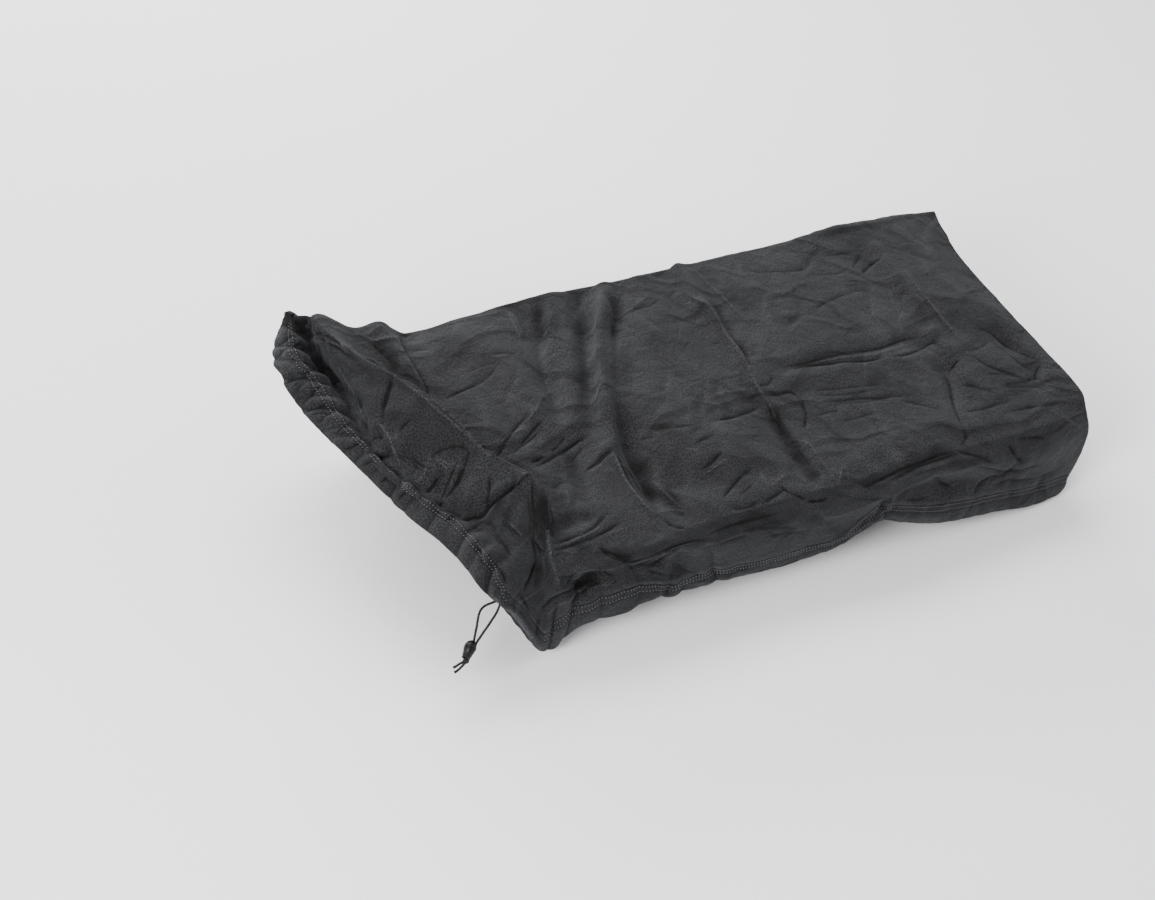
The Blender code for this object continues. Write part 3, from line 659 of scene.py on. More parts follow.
-3 -276,-92,14 -5,-12,-10 -5,-15,-11 -8,-19,-7 -4,-14,-6 -1,-8,-7
-3 -298,-159,-26 -12,-12,-10 -11,-7,-6
corner hollow 5
-2.9 -273,-101,11 -3,-11,-8 -6,-14,-12 -7,-19,-7 -4,-12,-9
corner hollow 4
-1.8 -295,-159,-28 -6,-10,-9 -6,-7,-11
corner sharp 3
1.8 -263,-103,-14 -9,-19,-2 -10,-25,-1 -4,-18,-9 1,-10,-12 1,-7,-13
corner soft 6
1.6 -258,-100,-14 -10,-23,-2 -9,-22,-4 -6,-22,-8 1,-10,-15
""")

# Pinches of the drawn hem that show: share along the side, width, depth, lean and reach up
# the wall.
PINCHES = {
    "front": read_table("""
0.022 5 3 4 0.3
0.048 4 2.4 -3 0.22
0.074 5 3 3 0.3
0.096 4 2.2 -4 0.2
0.122 4 2 2 0.2
0.16 4 2.4 -2 0.18
0.188 5 3 3 0.24
0.222 5 3.4 -5 0.3
0.252 4 2.6 4 0.24
0.3 4 2 5 0.26
0.343 5 3.4 -6 0.34
0.362 4 2.6 5 0.24
0.408 5 3.6 8 0.3
0.446 4 0.7 -3 0.16
0.498 4 0.8 3 0.16
0.556 4 0.9 -4 0.2
0.606 4 0.8 3 0.16
0.652 5 1.1 -6 0.26
0.69 6 3 12 0.36
0.736 4 0.7 -3 0.16
0.796 4 0.8 4 0.2
0.862 4 0.6 -3 0.14
0.908 4 0.8 4 0.2
0.956 5 1.2 -4 0.24
"""),
    "left": read_table("""
0.06 4 3.6 3 0.22
0.135 4 3 -3 0.18
0.205 4 3.3 3 0.2
0.27 4 2.7 -4 0.18
0.345 5 3.6 4 0.22
0.42 4 3 -3 0.2
0.485 4 3.3 5 0.2
0.56 5 3.9 -5 0.24
0.625 4 3.3 4 0.2
0.7 5 4.2 -6 0.26
0.77 4 3.6 5 0.22
0.835 5 4.2 -4 0.24
0.905 4 3.6 4 0.22
0.96 4 3 -3 0.2
"""),
}
# The hidden sides have pinches about this far apart, placed by a fixed draw.
PINCH_PITCH = {"right": 19.0, "back": 21.0}
PINCH_SEED = 41
PINCH_MARGIN = 8.0
# Where each side starts and ends in the count round the border.
SIDE_SPANS = {"front": (0.0, 1.0), "right": (1.0, 2.0), "back": (2.0, 3.0), "left": (4.0, 3.0)}
# The puffs beside a pinch: share of its depth, and place and size in its widths.
PUFF_SHARE = 0.42
PUFF_PLACE = 2.6
PUFF_SIZE = 1.5

# Fine crumple of the whole cloth: size, height, and whether it is ridged; and its share on
# the top, left, right, front and back.
CRUMPLE = ((64.0, 1.3, False), (30.0, 0.75, True), (15.0, 0.34, True))
CRUMPLE_SHARE = np.array([1.0, 0.7, 1.2, 1.1, 1.2])
# Without a seed of its own the noise's turns would follow the clock.
CRUMPLE_SEED = 5

# ---------------------------------------------------------------- cord and lock

# The two cord ends: piece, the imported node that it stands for, length in metres, and the
# route from the hem down to the lock.
CORDS = (
    ("drawcord_front_braid", "drawcord_front", 0.050, (
        (-342.6, -176.9, -48.6), (-347.9, -180.6, -56.4), (-351.0, -182.2, -59.7),
        (-354.5, -183.6, -63.1), (-359.2, -185.5, -67.6), (-363.3, -186.9, -71.4),
        (-368.5, -188.9, -76.3), (-372.7, -190.6, -80.4), (-374.9, -192.3, -83.3),)),
    ("drawcord_back_braid", "drawcord_back", 0.056, (
        (-342.1, -172.8, -50.8), (-351.2, -172.4, -52.4), (-357.4, -172.0, -54.4),
        (-361.4, -172.9, -56.9), (-364.2, -174.9, -60.4), (-366.2, -177.4, -64.0),
        (-368.3, -180.5, -68.0), (-371.4, -184.5, -73.6), (-374.4, -188.5, -79.1),
        (-375.9, -191.2, -82.7),)),
)

# The braid: sides and step of its mesh, strands, lay in diameters, and depth of its furrows.
CORD_SIDES = 24
CORD_STEP = 0.3
BRAID_STRANDS = 6
BRAID_LAY = 4.2
BRAID_RELIEF = 0.16

# The knot: its centre, its size, how the cut ends flare, and their routes.
KNOT_CENTRE = (-387.2, -200.2, -89.8)
KNOT_SCALE = 0.72
TAIL_FLARE = 0.22
KNOT_TAILS = (
    ((0, 0, 0), (-2.4, 0.2, -0.4), (-5.6, 0.4, -1.6), (-9.0, 0.2, -3.0), (-12.4, 0.3, -4.5)),
    ((0.6, -0.6, -0.8), (-1.8, -0.9, -2.2), (-5.0, -1.6, -4.4), (-8.6, -2.4, -6.4),
     (-12.4, -2.8, -8.0)),
)

LOCK_TOP = (-375.4, -188.1, -79.3)
LOCK_TILT = (-0.66, -0.70, -0.27)
LOCK_LENGTH = 15.0
LOCK_GAP = 0.3
LOCK_SIDES = 40
LOCK_ROUNDING = 0.3
# The barrel: an egg cut off at its mouth, with a groove and a lip, as shares of its length.
BARREL_RINGS = 28
BARREL_MOUTH = 0.93
BARREL_GROOVE = (0.56, 0.61)
BARREL_GROOVE_DEPTH = -0.35
BARREL_LIP = 0.80
BARREL_LIP_RISE = 0.55
# The button: how deep it sits, its collar, and the dish in its end.
BUTTON_SEAT = 0.91
BUTTON_COLLAR = 0.35
BUTTON_COLLAR_RISE = 0.6

# ---------------------------------------------------------------- stage

CAMERA_PLACE = (-0.8780, -1.2851, 1.2029)
CAMERA_AHEAD = (0.3623, 0.6662, -0.6518)
CAMERA_RIGHT = (0.9022, -0.4263, 0.0658)
CAMERA_LENS = 57.94
FLOOR_HEIGHT = -0.1415
FLOOR_RADIUS = 7.0
WORLD_COLOUR = (0.96, 0.97, 1.0)
WORLD_STRENGTH = 0.66
LIGHTS = (
    # name, place, aim, width, height, power in watts
    ("overhead softbox", (0.0, 1.2, 2.0), (-0.15, 0.3, 0.0), 1.9, 1.2, 62.5),
    ("left softbox", (-2.0, -1.1, 1.2), (-0.2, 0.0, 0.0), 1.1, 1.0, 97.0),
    ("right softbox", (1.8, -0.6, 0.9), (0.1, 0.0, 0.0), 0.8, 0.8, 14.0),
    ("back softbox", (-0.2, 2.7, 1.1), (0.2, 1.4, -0.1), 2.2, 0.6, 85.0),
)


# ---------------------------------------------------------------- curves and places of the sheet

def unit(vectors):
    """The vectors at length 1."""
    return vectors / np.maximum(np.linalg.norm(vectors, axis=-1, keepdims=True), 1e-12)


def run_along(points):
    """The distance along a line of points to each of them."""
    return np.concatenate([[0.0], np.cumsum(np.linalg.norm(np.diff(points, axis=0), axis=1))])


def dot(first, second):
    """The dot product of each row with its fellow."""
    return np.einsum("ij,ij->i", first, second)


def curve_at(knots, rows, at):
    """Rows of a smooth curve through rows at rising knots, read at each value of at.

    rows is (knots, width), or (knots, values, width) where each value has rows of its own."""
    knots = np.asarray(knots, float)
    rows = np.asarray(rows, float)
    last = len(knots) - 1
    span = np.clip(np.searchsorted(knots, at, side="right") - 1, 0, last - 1)
    low = np.maximum(np.arange(last + 1) - 1, 0)
    high = np.minimum(np.arange(last + 1) + 1, last)
    gap = (knots[high] - knots[low]).reshape((-1,) + (1,) * (rows.ndim - 1))
    slopes = (rows[high] - rows[low]) / gap

    def pick(table, row):
        return table[row] if rows.ndim == 2 else table[row, np.arange(len(at))]

    width = (knots[span + 1] - knots[span])[:, None]
    t = ((at - knots[span])[:, None]) / width
    return ((2 * t**3 - 3 * t**2 + 1) * pick(rows, span)
            + (t**3 - 2 * t**2 + t) * width * pick(slopes, span)
            + (-2 * t**3 + 3 * t**2) * pick(rows, span + 1)
            + (t**3 - t**2) * width * pick(slopes, span + 1))


def smooth_line(route, step, fewest):
    """A smooth line through a few places, and how far along it each point is, from 0."""
    route = np.array(route, float)
    knots = run_along(route)
    at = np.linspace(0, knots[-1], max(int(knots[-1] / step), fewest) + 1)
    return curve_at(knots, route, at), at


def track(sections, column, share):
    """The points of one column of a section table at each share of that side."""
    return curve_at([row[0] for row in sections], [row[column] for row in sections], share)


def wall_points(sections, share, down):
    """Points of a wall: along its top edge by share, down to the hem by down."""
    columns = np.stack([track(sections, column, share) for column in range(1, 6)])
    return curve_at(WALL_KNOTS, columns, down)


def top_heights(y):
    """Heights of the top's outer face where it lies on the covered body."""
    knots = TOP_PROFILE[:, 0]
    return curve_at(knots, TOP_PROFILE[:, 1:], np.clip(y, knots[0], knots[-1]))[:, 0]


def fold_rises(x, y):
    """Sum of the top's soft ridges and troughs at each place."""
    total = np.zeros(len(x))
    for (x0, y0), (x1, y1), width, rise in FOLDS:
        length = math.hypot(x1 - x0, y1 - y0)
        along = ((x1 - x0) / length, (y1 - y0) / length)
        run = (x - x0) * along[0] + (y - y0) * along[1]
        over = np.maximum(np.maximum(-run, run - length), 0.0)
        across = np.abs((x - x0) * along[1] - (y - y0) * along[0])
        distance = np.hypot(across, FOLD_END_REACH * over)
        total += rise * np.exp(-((distance / width) ** 2) * FOLD_FLATTEN)
    return total


def top_points(along, deep):
    """Points of the top, from its four edges, its profile and its soft folds."""
    left, right = track(LEFT_SECTIONS, 1, deep), track(RIGHT_SECTIONS, 1, deep)
    front, back = track(FRONT_SECTIONS, 1, along), track(BACK_SECTIONS, 1, along)
    u, v = along[:, None], deep[:, None]
    corners = ((1 - u) * (1 - v) * np.array(LEFT_SECTIONS[0][1])
               + (1 - u) * v * np.array(LEFT_SECTIONS[-1][1])
               + u * (1 - v) * np.array(RIGHT_SECTIONS[0][1])
               + u * v * np.array(RIGHT_SECTIONS[-1][1]))
    plan = (1 - u) * left + u * right + (1 - v) * front + v * back - corners
    x, y = plan[:, 0], plan[:, 1]
    lifts = [edge[:, 2] - top_heights(edge[:, 1]) for edge in (left, front, back, right)]
    from_left = np.hypot(x - left[:, 0], y - left[:, 1])
    off_corner = np.minimum(from_left / CORNER_BLEND, 1.0)
    lift = (lifts[0] * np.exp(-(from_left / RIDGE_FALL) ** RIDGE_SHARPNESS)
            + lifts[1] * np.exp(-(np.abs(y - front[:, 1]) / FRONT_FALL) ** 2) * off_corner
            + lifts[2] * np.exp(-(np.abs(y - back[:, 1]) / BACK_FALL) ** 2) * off_corner
            + lifts[3] * np.exp(-(np.abs(x - right[:, 0]) / SHOULDER_FALL) ** 2))
    fade = np.minimum(along / FADE_LEFT, 1.0) * np.minimum((1 - along) / FADE_RIGHT, 1.0)
    fade = fade * np.minimum(deep / FADE_FRONT, 1.0)
    return np.column_stack([x, y, top_heights(y) + lift + fade * fold_rises(x, y)])


def side_of(places):
    """Which part each place is on: 0 top, 1 left, 2 right, 3 front, 4 back."""
    along, deep, _ = places.T
    return np.select([along <= 0, along >= 1, deep <= 0, deep >= 1], [1, 2, 3, 4], 0)


def sheet_points(places):
    """Where places (along, deep, down) of the sheet lie, in millimetres."""
    along, deep, down = places.T
    side = side_of(places)
    points = np.zeros((len(places), 3))
    points[side == 0] = top_points(along[side == 0], deep[side == 0])
    for number, sections, share in ((1, LEFT_SECTIONS, deep), (2, RIGHT_SECTIONS, deep),
                                    (3, FRONT_SECTIONS, along), (4, BACK_SECTIONS, along)):
        here = side == number
        points[here] = wall_points(sections, share[here], down[here])
    return points


# ---------------------------------------------------------------- cells

def ring_places(cells_long, cells_deep):
    """The top's border, round from the front left corner: (along, deep) of each point."""
    front = [(i / cells_long, 0.0) for i in range(cells_long)]
    right = [(1.0, j / cells_deep) for j in range(cells_deep)]
    back = [(1.0 - i / cells_long, 1.0) for i in range(cells_long)]
    left = [(0.0, 1.0 - j / cells_deep) for j in range(cells_deep)]
    return front + right + back + left


def sheet_cells(cells_long, cells_deep, downs):
    """Places and cells of the sheet: a grid for the top and rows of cells down its walls.

    downs are the rows' places down the wall, after the edge itself."""
    places = [(i / cells_long, j / cells_deep, 0.0)
              for i in range(cells_long + 1) for j in range(cells_deep + 1)]
    across = cells_deep + 1
    cells = [(i * across + j, (i + 1) * across + j, (i + 1) * across + j + 1, i * across + j + 1)
             for i in range(cells_long) for j in range(cells_deep)]
    ring = ring_places(cells_long, cells_deep)
    above = [round(u * cells_long) * across + round(v * cells_deep) for u, v in ring]
    for down in downs:
        below = [len(places) + index for index in range(len(ring))]
        places += [(u, v, down) for u, v in ring]
        cells += zip(above, below, below[1:] + below[:1], above[1:] + above[:1])
        above = below
    return np.array(places), cells


def ring_cells(rows, count):
    """Cells between rows of points that each run once round."""
    row, index = np.divmod(np.arange((rows - 1) * count), count)
    here, after = row * count + index, row * count + (index + 1) % count
    return np.stack([here, here + count, after + count, after], axis=1)


def split_cells(places, cells, chosen, parts):
    """Split the chosen cells into parts each way; the cells beside them take the new corners in."""
    places = [tuple(place) for place in places]
    on_edges = {}

    def add_between(a, b):
        """New places between two places, and their numbers."""
        start = len(places)
        places.extend(tuple(x + (y - x) * k / parts for x, y in zip(places[a], places[b]))
                      for k in range(1, parts))
        return list(range(start, start + parts - 1))

    def edge_points(a, b):
        key = (min(a, b), max(a, b))
        if key not in on_edges:
            on_edges[key] = add_between(*key)
        return on_edges[key] if a < b else on_edges[key][::-1]

    finished = []
    for index in chosen:
        a, b, c, d = cells[index]
        low, right, high, left = (edge_points(a, b), edge_points(b, c),
                                  edge_points(d, c), edge_points(a, d))
        rows = [[a, *low, b]]
        rows += [[left[k], *add_between(left[k], right[k]), right[k]] for k in range(parts - 1)]
        rows.append([d, *high, c])
        finished += [(rows[k][m], rows[k][m + 1], rows[k + 1][m + 1], rows[k + 1][m])
                     for k in range(parts) for m in range(parts)]
    taken = set(chosen)
    for index, cell in enumerate(cells):
        if index not in taken:
            outline = []
            for a, b in zip(cell, cell[1:] + cell[:1]):
                outline.append(a)
                if (min(a, b), max(a, b)) in on_edges:
                    outline += edge_points(a, b)
            finished.append(tuple(outline))
    return np.array(places), finished


def face_normals(points, cells):
    """Unit normals at the points, from the cells' areas around them."""
    normals = np.zeros_like(points)
    quads = np.array([[cell[k * len(cell) // 4] for k in range(4)] for cell in cells])
    facing = np.cross(points[quads[:, 2]] - points[quads[:, 0]],
                      points[quads[:, 3]] - points[quads[:, 1]])
    owners = np.repeat(np.arange(len(cells)), [len(cell) for cell in cells])
    np.add.at(normals, np.concatenate(cells), facing[owners])
    return unit(normals)


# ---------------------------------------------------------------- creases

def read_creases(table):
    """Each crease of the table: where, kind, width, rise, line, and shares along the line."""
    creases = []
    for first, *rest in table:
        if isinstance(first, str):
            heading = (first, *rest)
        else:
            line, at = smooth_line(np.cumsum(rest, axis=0), CREASE_STEP, 3)
            creases.append((*heading, first, line, at / at[-1]))
    return creases


def nearest_on_line(points, line, share):
    """Offsets of the points from the nearest place on a line, that place, and its direction."""
    best = np.full(len(points), 1e9)
    offset = np.zeros_like(points)
    place = np.zeros(len(points))
    heading = np.zeros_like(points)
    for k in range(len(line) - 1):
        step = line[k + 1] - line[k]
        length = max(float(step @ step), 1e-9)
        t = np.clip(((points - line[k]) @ step) / length, 0, 1)
        away = points - line[k] - t[:, None] * step
        distance = dot(away, away)
        closer = distance < best
        best[closer] = distance[closer]
        offset[closer] = away[closer]
        place[closer] = share[k] + (share[k + 1] - share[k]) * t[closer]
        heading[closer] = step / math.sqrt(length)
    return offset, place, heading


def crease_rises(points, normals, side):
    """How far the creases raise each point along its normal, how sharp they are there, and its
    painted shade: dark deep in a crease, below zero a painted highlight on a crest. The last table
    holds, in LINE_LAYERS layers, the signed distance to the nearest sharp crease and its depth, for
    thin painted lines."""
    rises, sharp, shades = np.zeros((3, len(points)))
    lines = np.zeros((len(points), 2 * LINE_LAYERS))
    lines[:, :LINE_LAYERS] = 1.0
    for number, (where, kind, width, rise, line, share) in enumerate(read_creases(CREASE_TABLE)):
        reach = width * CREASE_REACH[kind]
        near = ((points > line.min(0) - reach) & (points < line.max(0) + reach)).all(1)
        chosen = np.nonzero(near & np.isin(side, CREASE_SIDES[where]))[0]
        if not len(chosen):
            continue
        offset, place, heading = nearest_on_line(points[chosen], line, share)
        lift = dot(offset, normals[chosen])
        flat = offset - lift[:, None] * normals[chosen]
        distance = np.linalg.norm(flat, axis=1)
        hand = dot(np.cross(heading, flat), normals[chosen])
        strength = np.clip(np.minimum(place, 1 - place) / CREASE_TAPER, 0.0, 1.0) ** 0.7
        strength *= 1.0 + CREASE_SWELL * np.sin(5.1 * place * (1 + number % 3) + number)
        strength *= np.clip(1.5 - np.abs(lift) / LAYER_GAP, 0.0, 1.0)
        away = distance / width
        shape = np.exp(-1.5 * (np.sqrt(away**2 + 0.03) - 0.17) if kind == "sharp"
                       else -1.6 * away**2)
        rises[chosen] += CREASE_GAIN[kind] * rise * strength * shape
        if kind == "soft":
            continue
        # Painted shade at the bottom of sharp creases and hollows, painted highlight on raised
        # crests.
        tone = strength * min(abs(rise) / CREASE_FULL_DEPTH, 1.0)
        if kind == "hollow":
            tone *= np.exp(-1.1 * away**4)
        else:
            sharp[chosen] = np.maximum(sharp[chosen], strength * abs(rise) / width
                                       * (distance < FINE_REACH))
            # Thin painted shade lines in creases, painted highlight lines on crests.
            layer = number % LINE_LAYERS
            closer = distance < np.abs(lines[chosen, layer]) * LINE_REACH
            depth = math.copysign(min(abs(rise) / LINE_FULL_DEPTH, 1.0) ** 0.6, rise)
            lines[chosen[closer], layer] = (np.where(hand >= 0, distance, -distance)
                                            / LINE_REACH)[closer]
            lines[chosen[closer], LINE_LAYERS + layer] = -(strength * depth)[closer]
            dark_width = CREASE_PAINTED_LIGHT_WIDTH * (1.0 if rise < 0 else 1.4)
            tone *= math.copysign(1.0, -rise) * np.exp(-((distance / dark_width) ** 2))
        stronger = np.abs(tone) > np.abs(shades[chosen])
        shades[chosen[stronger]] = tone[stronger]
    return rises, sharp, shades, lines


# ---------------------------------------------------------------- the drawn hem and the crumple

def perimeter(places, side):
    """How far round the border each place is: 0 to 1 front, to 2 right, to 3 back, to 4 left."""
    along, deep, _ = places.T
    return np.select([side == 3, side == 2, side == 4, side == 1],
                     [along, 1 + deep, 3 - along, 4 - deep], 0.0)


def hem_runs():
    """Perimeter places and the distance round the hem's seam to each, in millimetres."""
    places = np.array([(u, v, SEAM_DOWN) for u, v in ring_places(CELLS_LONG, CELLS_DEEP)])
    side = side_of(places)
    side[0] = 3
    points = sheet_points(places)
    return np.append(perimeter(places, side), 4.0), run_along(np.vstack([points, points[:1]]))


def all_pinches(runs):
    """Every pinch as (run, width, depth, lean, reach), those of the hidden sides drawn."""
    found = []
    for where, pinches in PINCHES.items():
        start, end = SIDE_SPANS[where]
        found += [(float(np.interp(start + (end - start) * share, *runs)), *pinch)
                  for share, *pinch in pinches]
    draw = np.random.default_rng(PINCH_SEED)
    for where in ("right", "back"):
        low, high = np.interp(SIDE_SPANS[where], *runs)
        run = low + PINCH_MARGIN
        while run < high - PINCH_MARGIN:
            found.append((run, draw.uniform(3.5, 5.5), draw.uniform(1.2, 3.0),
                          draw.uniform(-6, 6), draw.uniform(0.14, 0.30)))
            run += PINCH_PITCH[where] * draw.uniform(0.6, 1.5)
    return found


def pinch_rises(places, side):
    """How far the drawn hem's pinches and puffs move each wall point along its normal."""
    round_table, run_table = hem_runs()
    runs = np.interp(perimeter(places, side), round_table, run_table)
    down = places[:, 2]
    total = run_table[-1]
    rises = np.zeros(len(places))
    for run, width, depth, lean, reach in all_pinches((round_table, run_table)):
        away = runs - run - lean * (down - SEAM_DOWN) * 4.0
        away = (away + total / 2) % total - total / 2
        above = np.exp(-(np.maximum(STITCH_ROWS[0] - down, 0.0) / reach) ** 2)
        below = 1.0 - 0.35 * np.clip((down - STITCH_ROWS[1]) / (1 - STITCH_ROWS[1]), 0, 1)
        crease = np.exp(-1.2 * (np.sqrt((away / width) ** 2 + 0.05) - 0.22))
        puff = np.exp(-((np.abs(away) - PUFF_PLACE * width) / (PUFF_SIZE * width)) ** 2)
        rises += above * below * depth * (PUFF_SHARE * puff - crease)
    return np.where((side > 0) & (down > 0.02), rises, 0.0)


def crumple_rises(points):
    """Fine crumple of the whole cloth, the same wherever the sheet is cut."""
    noise.seed_set(CRUMPLE_SEED)
    rises = np.zeros(len(points))
    for number, (size, height, ridged) in enumerate(CRUMPLE):
        shift = Vector((13.7 * number, 5.1 * number, 2.3))
        for index, point in enumerate(points):
            place = Vector(point) / size + shift
            value = noise.noise(place + noise.noise_vector(place * 0.6) * 0.5)
            if ridged:
                patch = 0.55 + 1.4 * noise.noise(place * 0.33 + shift)
                value = (abs(value) * 2.0 - 0.45) * max(0.0, min(1.0, patch))
            rises[index] += height * value
    return rises


def all_rises(places, points, normals, side):
    """How far creases, pinches and crumple move each point, its painted shade and highlight, and
    its thin painted lines.
    """
    rises, _, shades, lines = crease_rises(points, normals, side)
    pinches = pinch_rises(places, side)
    # Painted shade in the hem's pinches.
    shades = np.maximum(shades, np.clip(-pinches / 4.0 - 0.15, 0.0, 0.8))
    rises += pinches + crumple_rises(points) * CRUMPLE_SHARE[side]
    return rises, shades, lines


# ---------------------------------------------------------------- meshes of the cloth

def flat_places(places, cell_side, points):
    """The cloth's flat pattern in metres: plan on the top, run and depth on the walls."""
    runs = np.interp(perimeter(places, cell_side), *hem_runs())
    flat = np.column_stack([runs, -places[:, 2] * WALL_LENGTH])
    return np.where((cell_side == 0)[:, None], points[:, :2], flat) * MM


def mesh_from(name, points, cells, flats=None, tones=None):
    """A smooth-shaded mesh object from millimetre points, with its flat pattern as UV map.

    tones hold the painted shade and painted highlight of each point, and where the thin painted
    lines are, for the cloth's colour."""
    mesh = bpy.data.meshes.new(name)
    mesh.from_pydata((points * MM).tolist(), [], [list(cell) for cell in cells])
    mesh.update()
    if flats is not None:
        layer = mesh.uv_layers.new(name="pattern")
        layer.data.foreach_set("uv", np.asarray(flats, np.float32).ravel())
        layer = mesh.attributes.new("crease", "FLOAT", "POINT")
        layer.data.foreach_set("value", np.asarray(tones[:, 0], np.float32))
        for title, first in (("line_away", 1), ("line_depth", 1 + LINE_LAYERS)):
            layer = mesh.attributes.new(title, "FLOAT_VECTOR", "POINT")
            part = tones[:, first:first + LINE_LAYERS]
            layer.data.foreach_set("vector", np.ascontiguousarray(part, np.float32).ravel())
    mesh.shade_smooth()
    piece = bpy.data.objects.new(name, mesh)
    bpy.context.scene.collection.objects.link(piece)
    return piece


def cell_sides(places, cells):
    """Which part each cell is on, from the middle of its corners."""
    along, deep, down = np.array([places[list(cell)].mean(0) for cell in cells]).T
    gaps = np.column_stack([np.full(len(cells), 9.0), along, 1 - along, deep, 1 - deep])
    return np.where(down > 1e-6, gaps.argmin(1), 0)


def cover_surface():
    """The whole outer face: places, cells, points, normals, displaced points and their tones."""
    downs = [SEAM_DOWN * k / CELLS_DOWN for k in range(1, CELLS_DOWN + 1)]
    downs += [SEAM_DOWN + (1 - SEAM_DOWN) * k / HEM_ROWS for k in range(1, HEM_ROWS + 1)]
    places, cells = sheet_cells(CELLS_LONG, CELLS_DEEP, downs)
    points = sheet_points(places)
    sharp = crease_rises(points, face_normals(points, cells), side_of(places))[1]
    last_row = SEAM_DOWN * (CELLS_DOWN - 1) / CELLS_DOWN - 1e-6
    steep = sorted((-sharp[list(cell)].max(), index) for index, cell in enumerate(cells)
                   if places[list(cell), 2].max() <= last_row)
    chosen = [index for weight, index in steep[:FINE_CELLS_MOST] if weight < -FINE_LEAST]
    places, cells = split_cells(places, cells, sorted(chosen), FINE_SPLIT)
    points = sheet_points(places)
    normals = face_normals(points, cells)
    rises, shades, lines = all_rises(places, points, normals, side_of(places))
    tones = np.column_stack([shades, lines])
    return places, cells, points, normals, points + normals * rises[:, None], tones


SHARED = {}


def shared(make):
    """What a function makes, worked out once for all the pieces that need it."""
    if make not in SHARED:
        SHARED[make] = make()
    return SHARED[make]


def inner_surface(thickness):
    """The cloth's plainer inner face: half as many cells each way, behind every fold and
    crease near by, so that it never comes through the outer face."""
    long, deep, down = CELLS_LONG // 2, CELLS_DEEP // 2, CELLS_DOWN // 2
    places, cells = sheet_cells(long, deep, [SEAM_DOWN * k / down for k in range(1, down + 1)])
    points = sheet_points(places)
    _, _, base, face, moved, _ = shared(cover_surface)
    tree = KDTree(len(base))
    for index, point in enumerate(base):
        tree.insert(point, index)
    tree.balance()
    ring = len(ring_places(long, deep))
    inner = np.zeros(points.shape)
    for index, point in enumerate(points):
        found = tree.find_range(point, INNER_REACH)
        closest = min(found, key=lambda item: item[2])[1]
        facing = face[closest]
        if index >= len(points) - ring:
            inner[index] = moved[closest] - EDGE_THICKNESS * facing
        elif facing[2] < 0.0 and places[index][2] == 0.0:
            inner[index] = moved[closest] + TUCK_THICKNESS * facing
        else:
            near = np.array([item[1] for item in found])
            near = near[face[near] @ facing > 0.2]
            height = max(((moved[near] - point) @ facing).min(), -INNER_DEPTH)
            inner[index] = point + (height - thickness) * facing
    return places, cells, points, inner


def build_cloth_mesh(thickness):
    """The cover's top and walls down to the hem's seam, as one thin sheet."""
    places, cells, base, _, points, tones = shared(cover_surface)
    kept = [cell for cell in cells if places[list(cell), 2].max() <= SEAM_DOWN + 1e-6]
    corners = np.concatenate(kept)
    used = np.unique(corners)
    number = np.full(len(places), -1)
    number[used] = np.arange(len(used))
    corner_sides = np.repeat(cell_sides(places, kept), [len(cell) for cell in kept])
    inner_places, inner_cells, inner_base, inner_points = inner_surface(thickness)
    turned = np.array(inner_cells)[:, ::-1]
    inner_sides = np.repeat(cell_sides(inner_places, inner_cells), 4)
    ring = len(ring_places(CELLS_LONG, CELLS_DEEP))
    outer_row = number[(CELLS_LONG + 1) * (CELLS_DEEP + 1) + (CELLS_DOWN - 1) * ring
                       + np.arange(ring)]
    half = np.arange(ring // 2)
    inner_row = len(used) + len(inner_places) - len(half) + half
    rim = np.stack([outer_row[2 * half + 2 - ring], outer_row[2 * half + 1],
                    outer_row[2 * half], inner_row, np.roll(inner_row, -1)], axis=1)
    faces = [number[list(cell)] for cell in kept] + list(turned + len(used)) + list(rim)
    flats = np.vstack([flat_places(places[corners], corner_sides, base[corners]),
                       flat_places(inner_places[turned.ravel()], inner_sides,
                                   inner_base[turned.ravel()]), np.zeros((rim.size, 2))])
    tones = np.vstack([tones[used], np.zeros((len(inner_points), tones.shape[1]))])
    return mesh_from("cover_cloth_sheet", np.vstack([points[used], inner_points]), faces,
                     flats, tones)


def hem_grid():
    """Rows of points of the hem's outer face, twice as close round it as the cloth's, their
    places round the border, and their tones."""
    places, _, _, normals, points, tones = shared(cover_surface)
    count = len(ring_places(CELLS_LONG, CELLS_DEEP))
    start = (CELLS_LONG + 1) * (CELLS_DEEP + 1) + (CELLS_DOWN - 1) * count
    rows, depths = [], []
    for row in range(HEM_ROWS + 1):
        here = np.arange(start + row * count, start + (row + 1) * count)
        after = np.roll(here, -1)
        middle = (places[here] + places[after]) / 2
        u, v, _ = middle.T
        middle_side = np.stack([u, 1 - u, v, 1 - v]).argmin(0) + 1
        if row == 0:
            between = (points[here] + points[after]) / 2
            tone = (tones[here] + tones[after]) / 2
            own_side = side_of(places[here])
            own_side[0] = 3
            round_places = np.stack([perimeter(places[here], own_side),
                                     perimeter(middle, middle_side)], axis=1).ravel()
        else:
            facing = unit(normals[here] + normals[after])
            at = sheet_points(middle)
            rise, shade, line = all_rises(middle, at, facing, middle_side)
            tone = np.column_stack([shade, line])
            between = at + facing * rise[:, None]
        rows.append(np.stack([points[here], between], axis=1).reshape(-1, 3))
        depths.append(np.stack([tones[here], tone], axis=1).reshape(-1, tone.shape[1]))
    return np.array(rows), round_places, np.array(depths)


def grid_normals(rows):
    """Outward normals of rows of points that run round the hem, top row first."""
    along = np.roll(rows, -1, axis=1) - np.roll(rows, 1, axis=1)
    return unit(np.cross(np.gradient(rows, axis=0), along))


def stitch_furrows(downs, width):
    """How near each place down the wall is to a row of stitches, from 0 to 1."""
    return sum(np.exp(-((downs - row) / width) ** 2) for row in STITCH_ROWS)


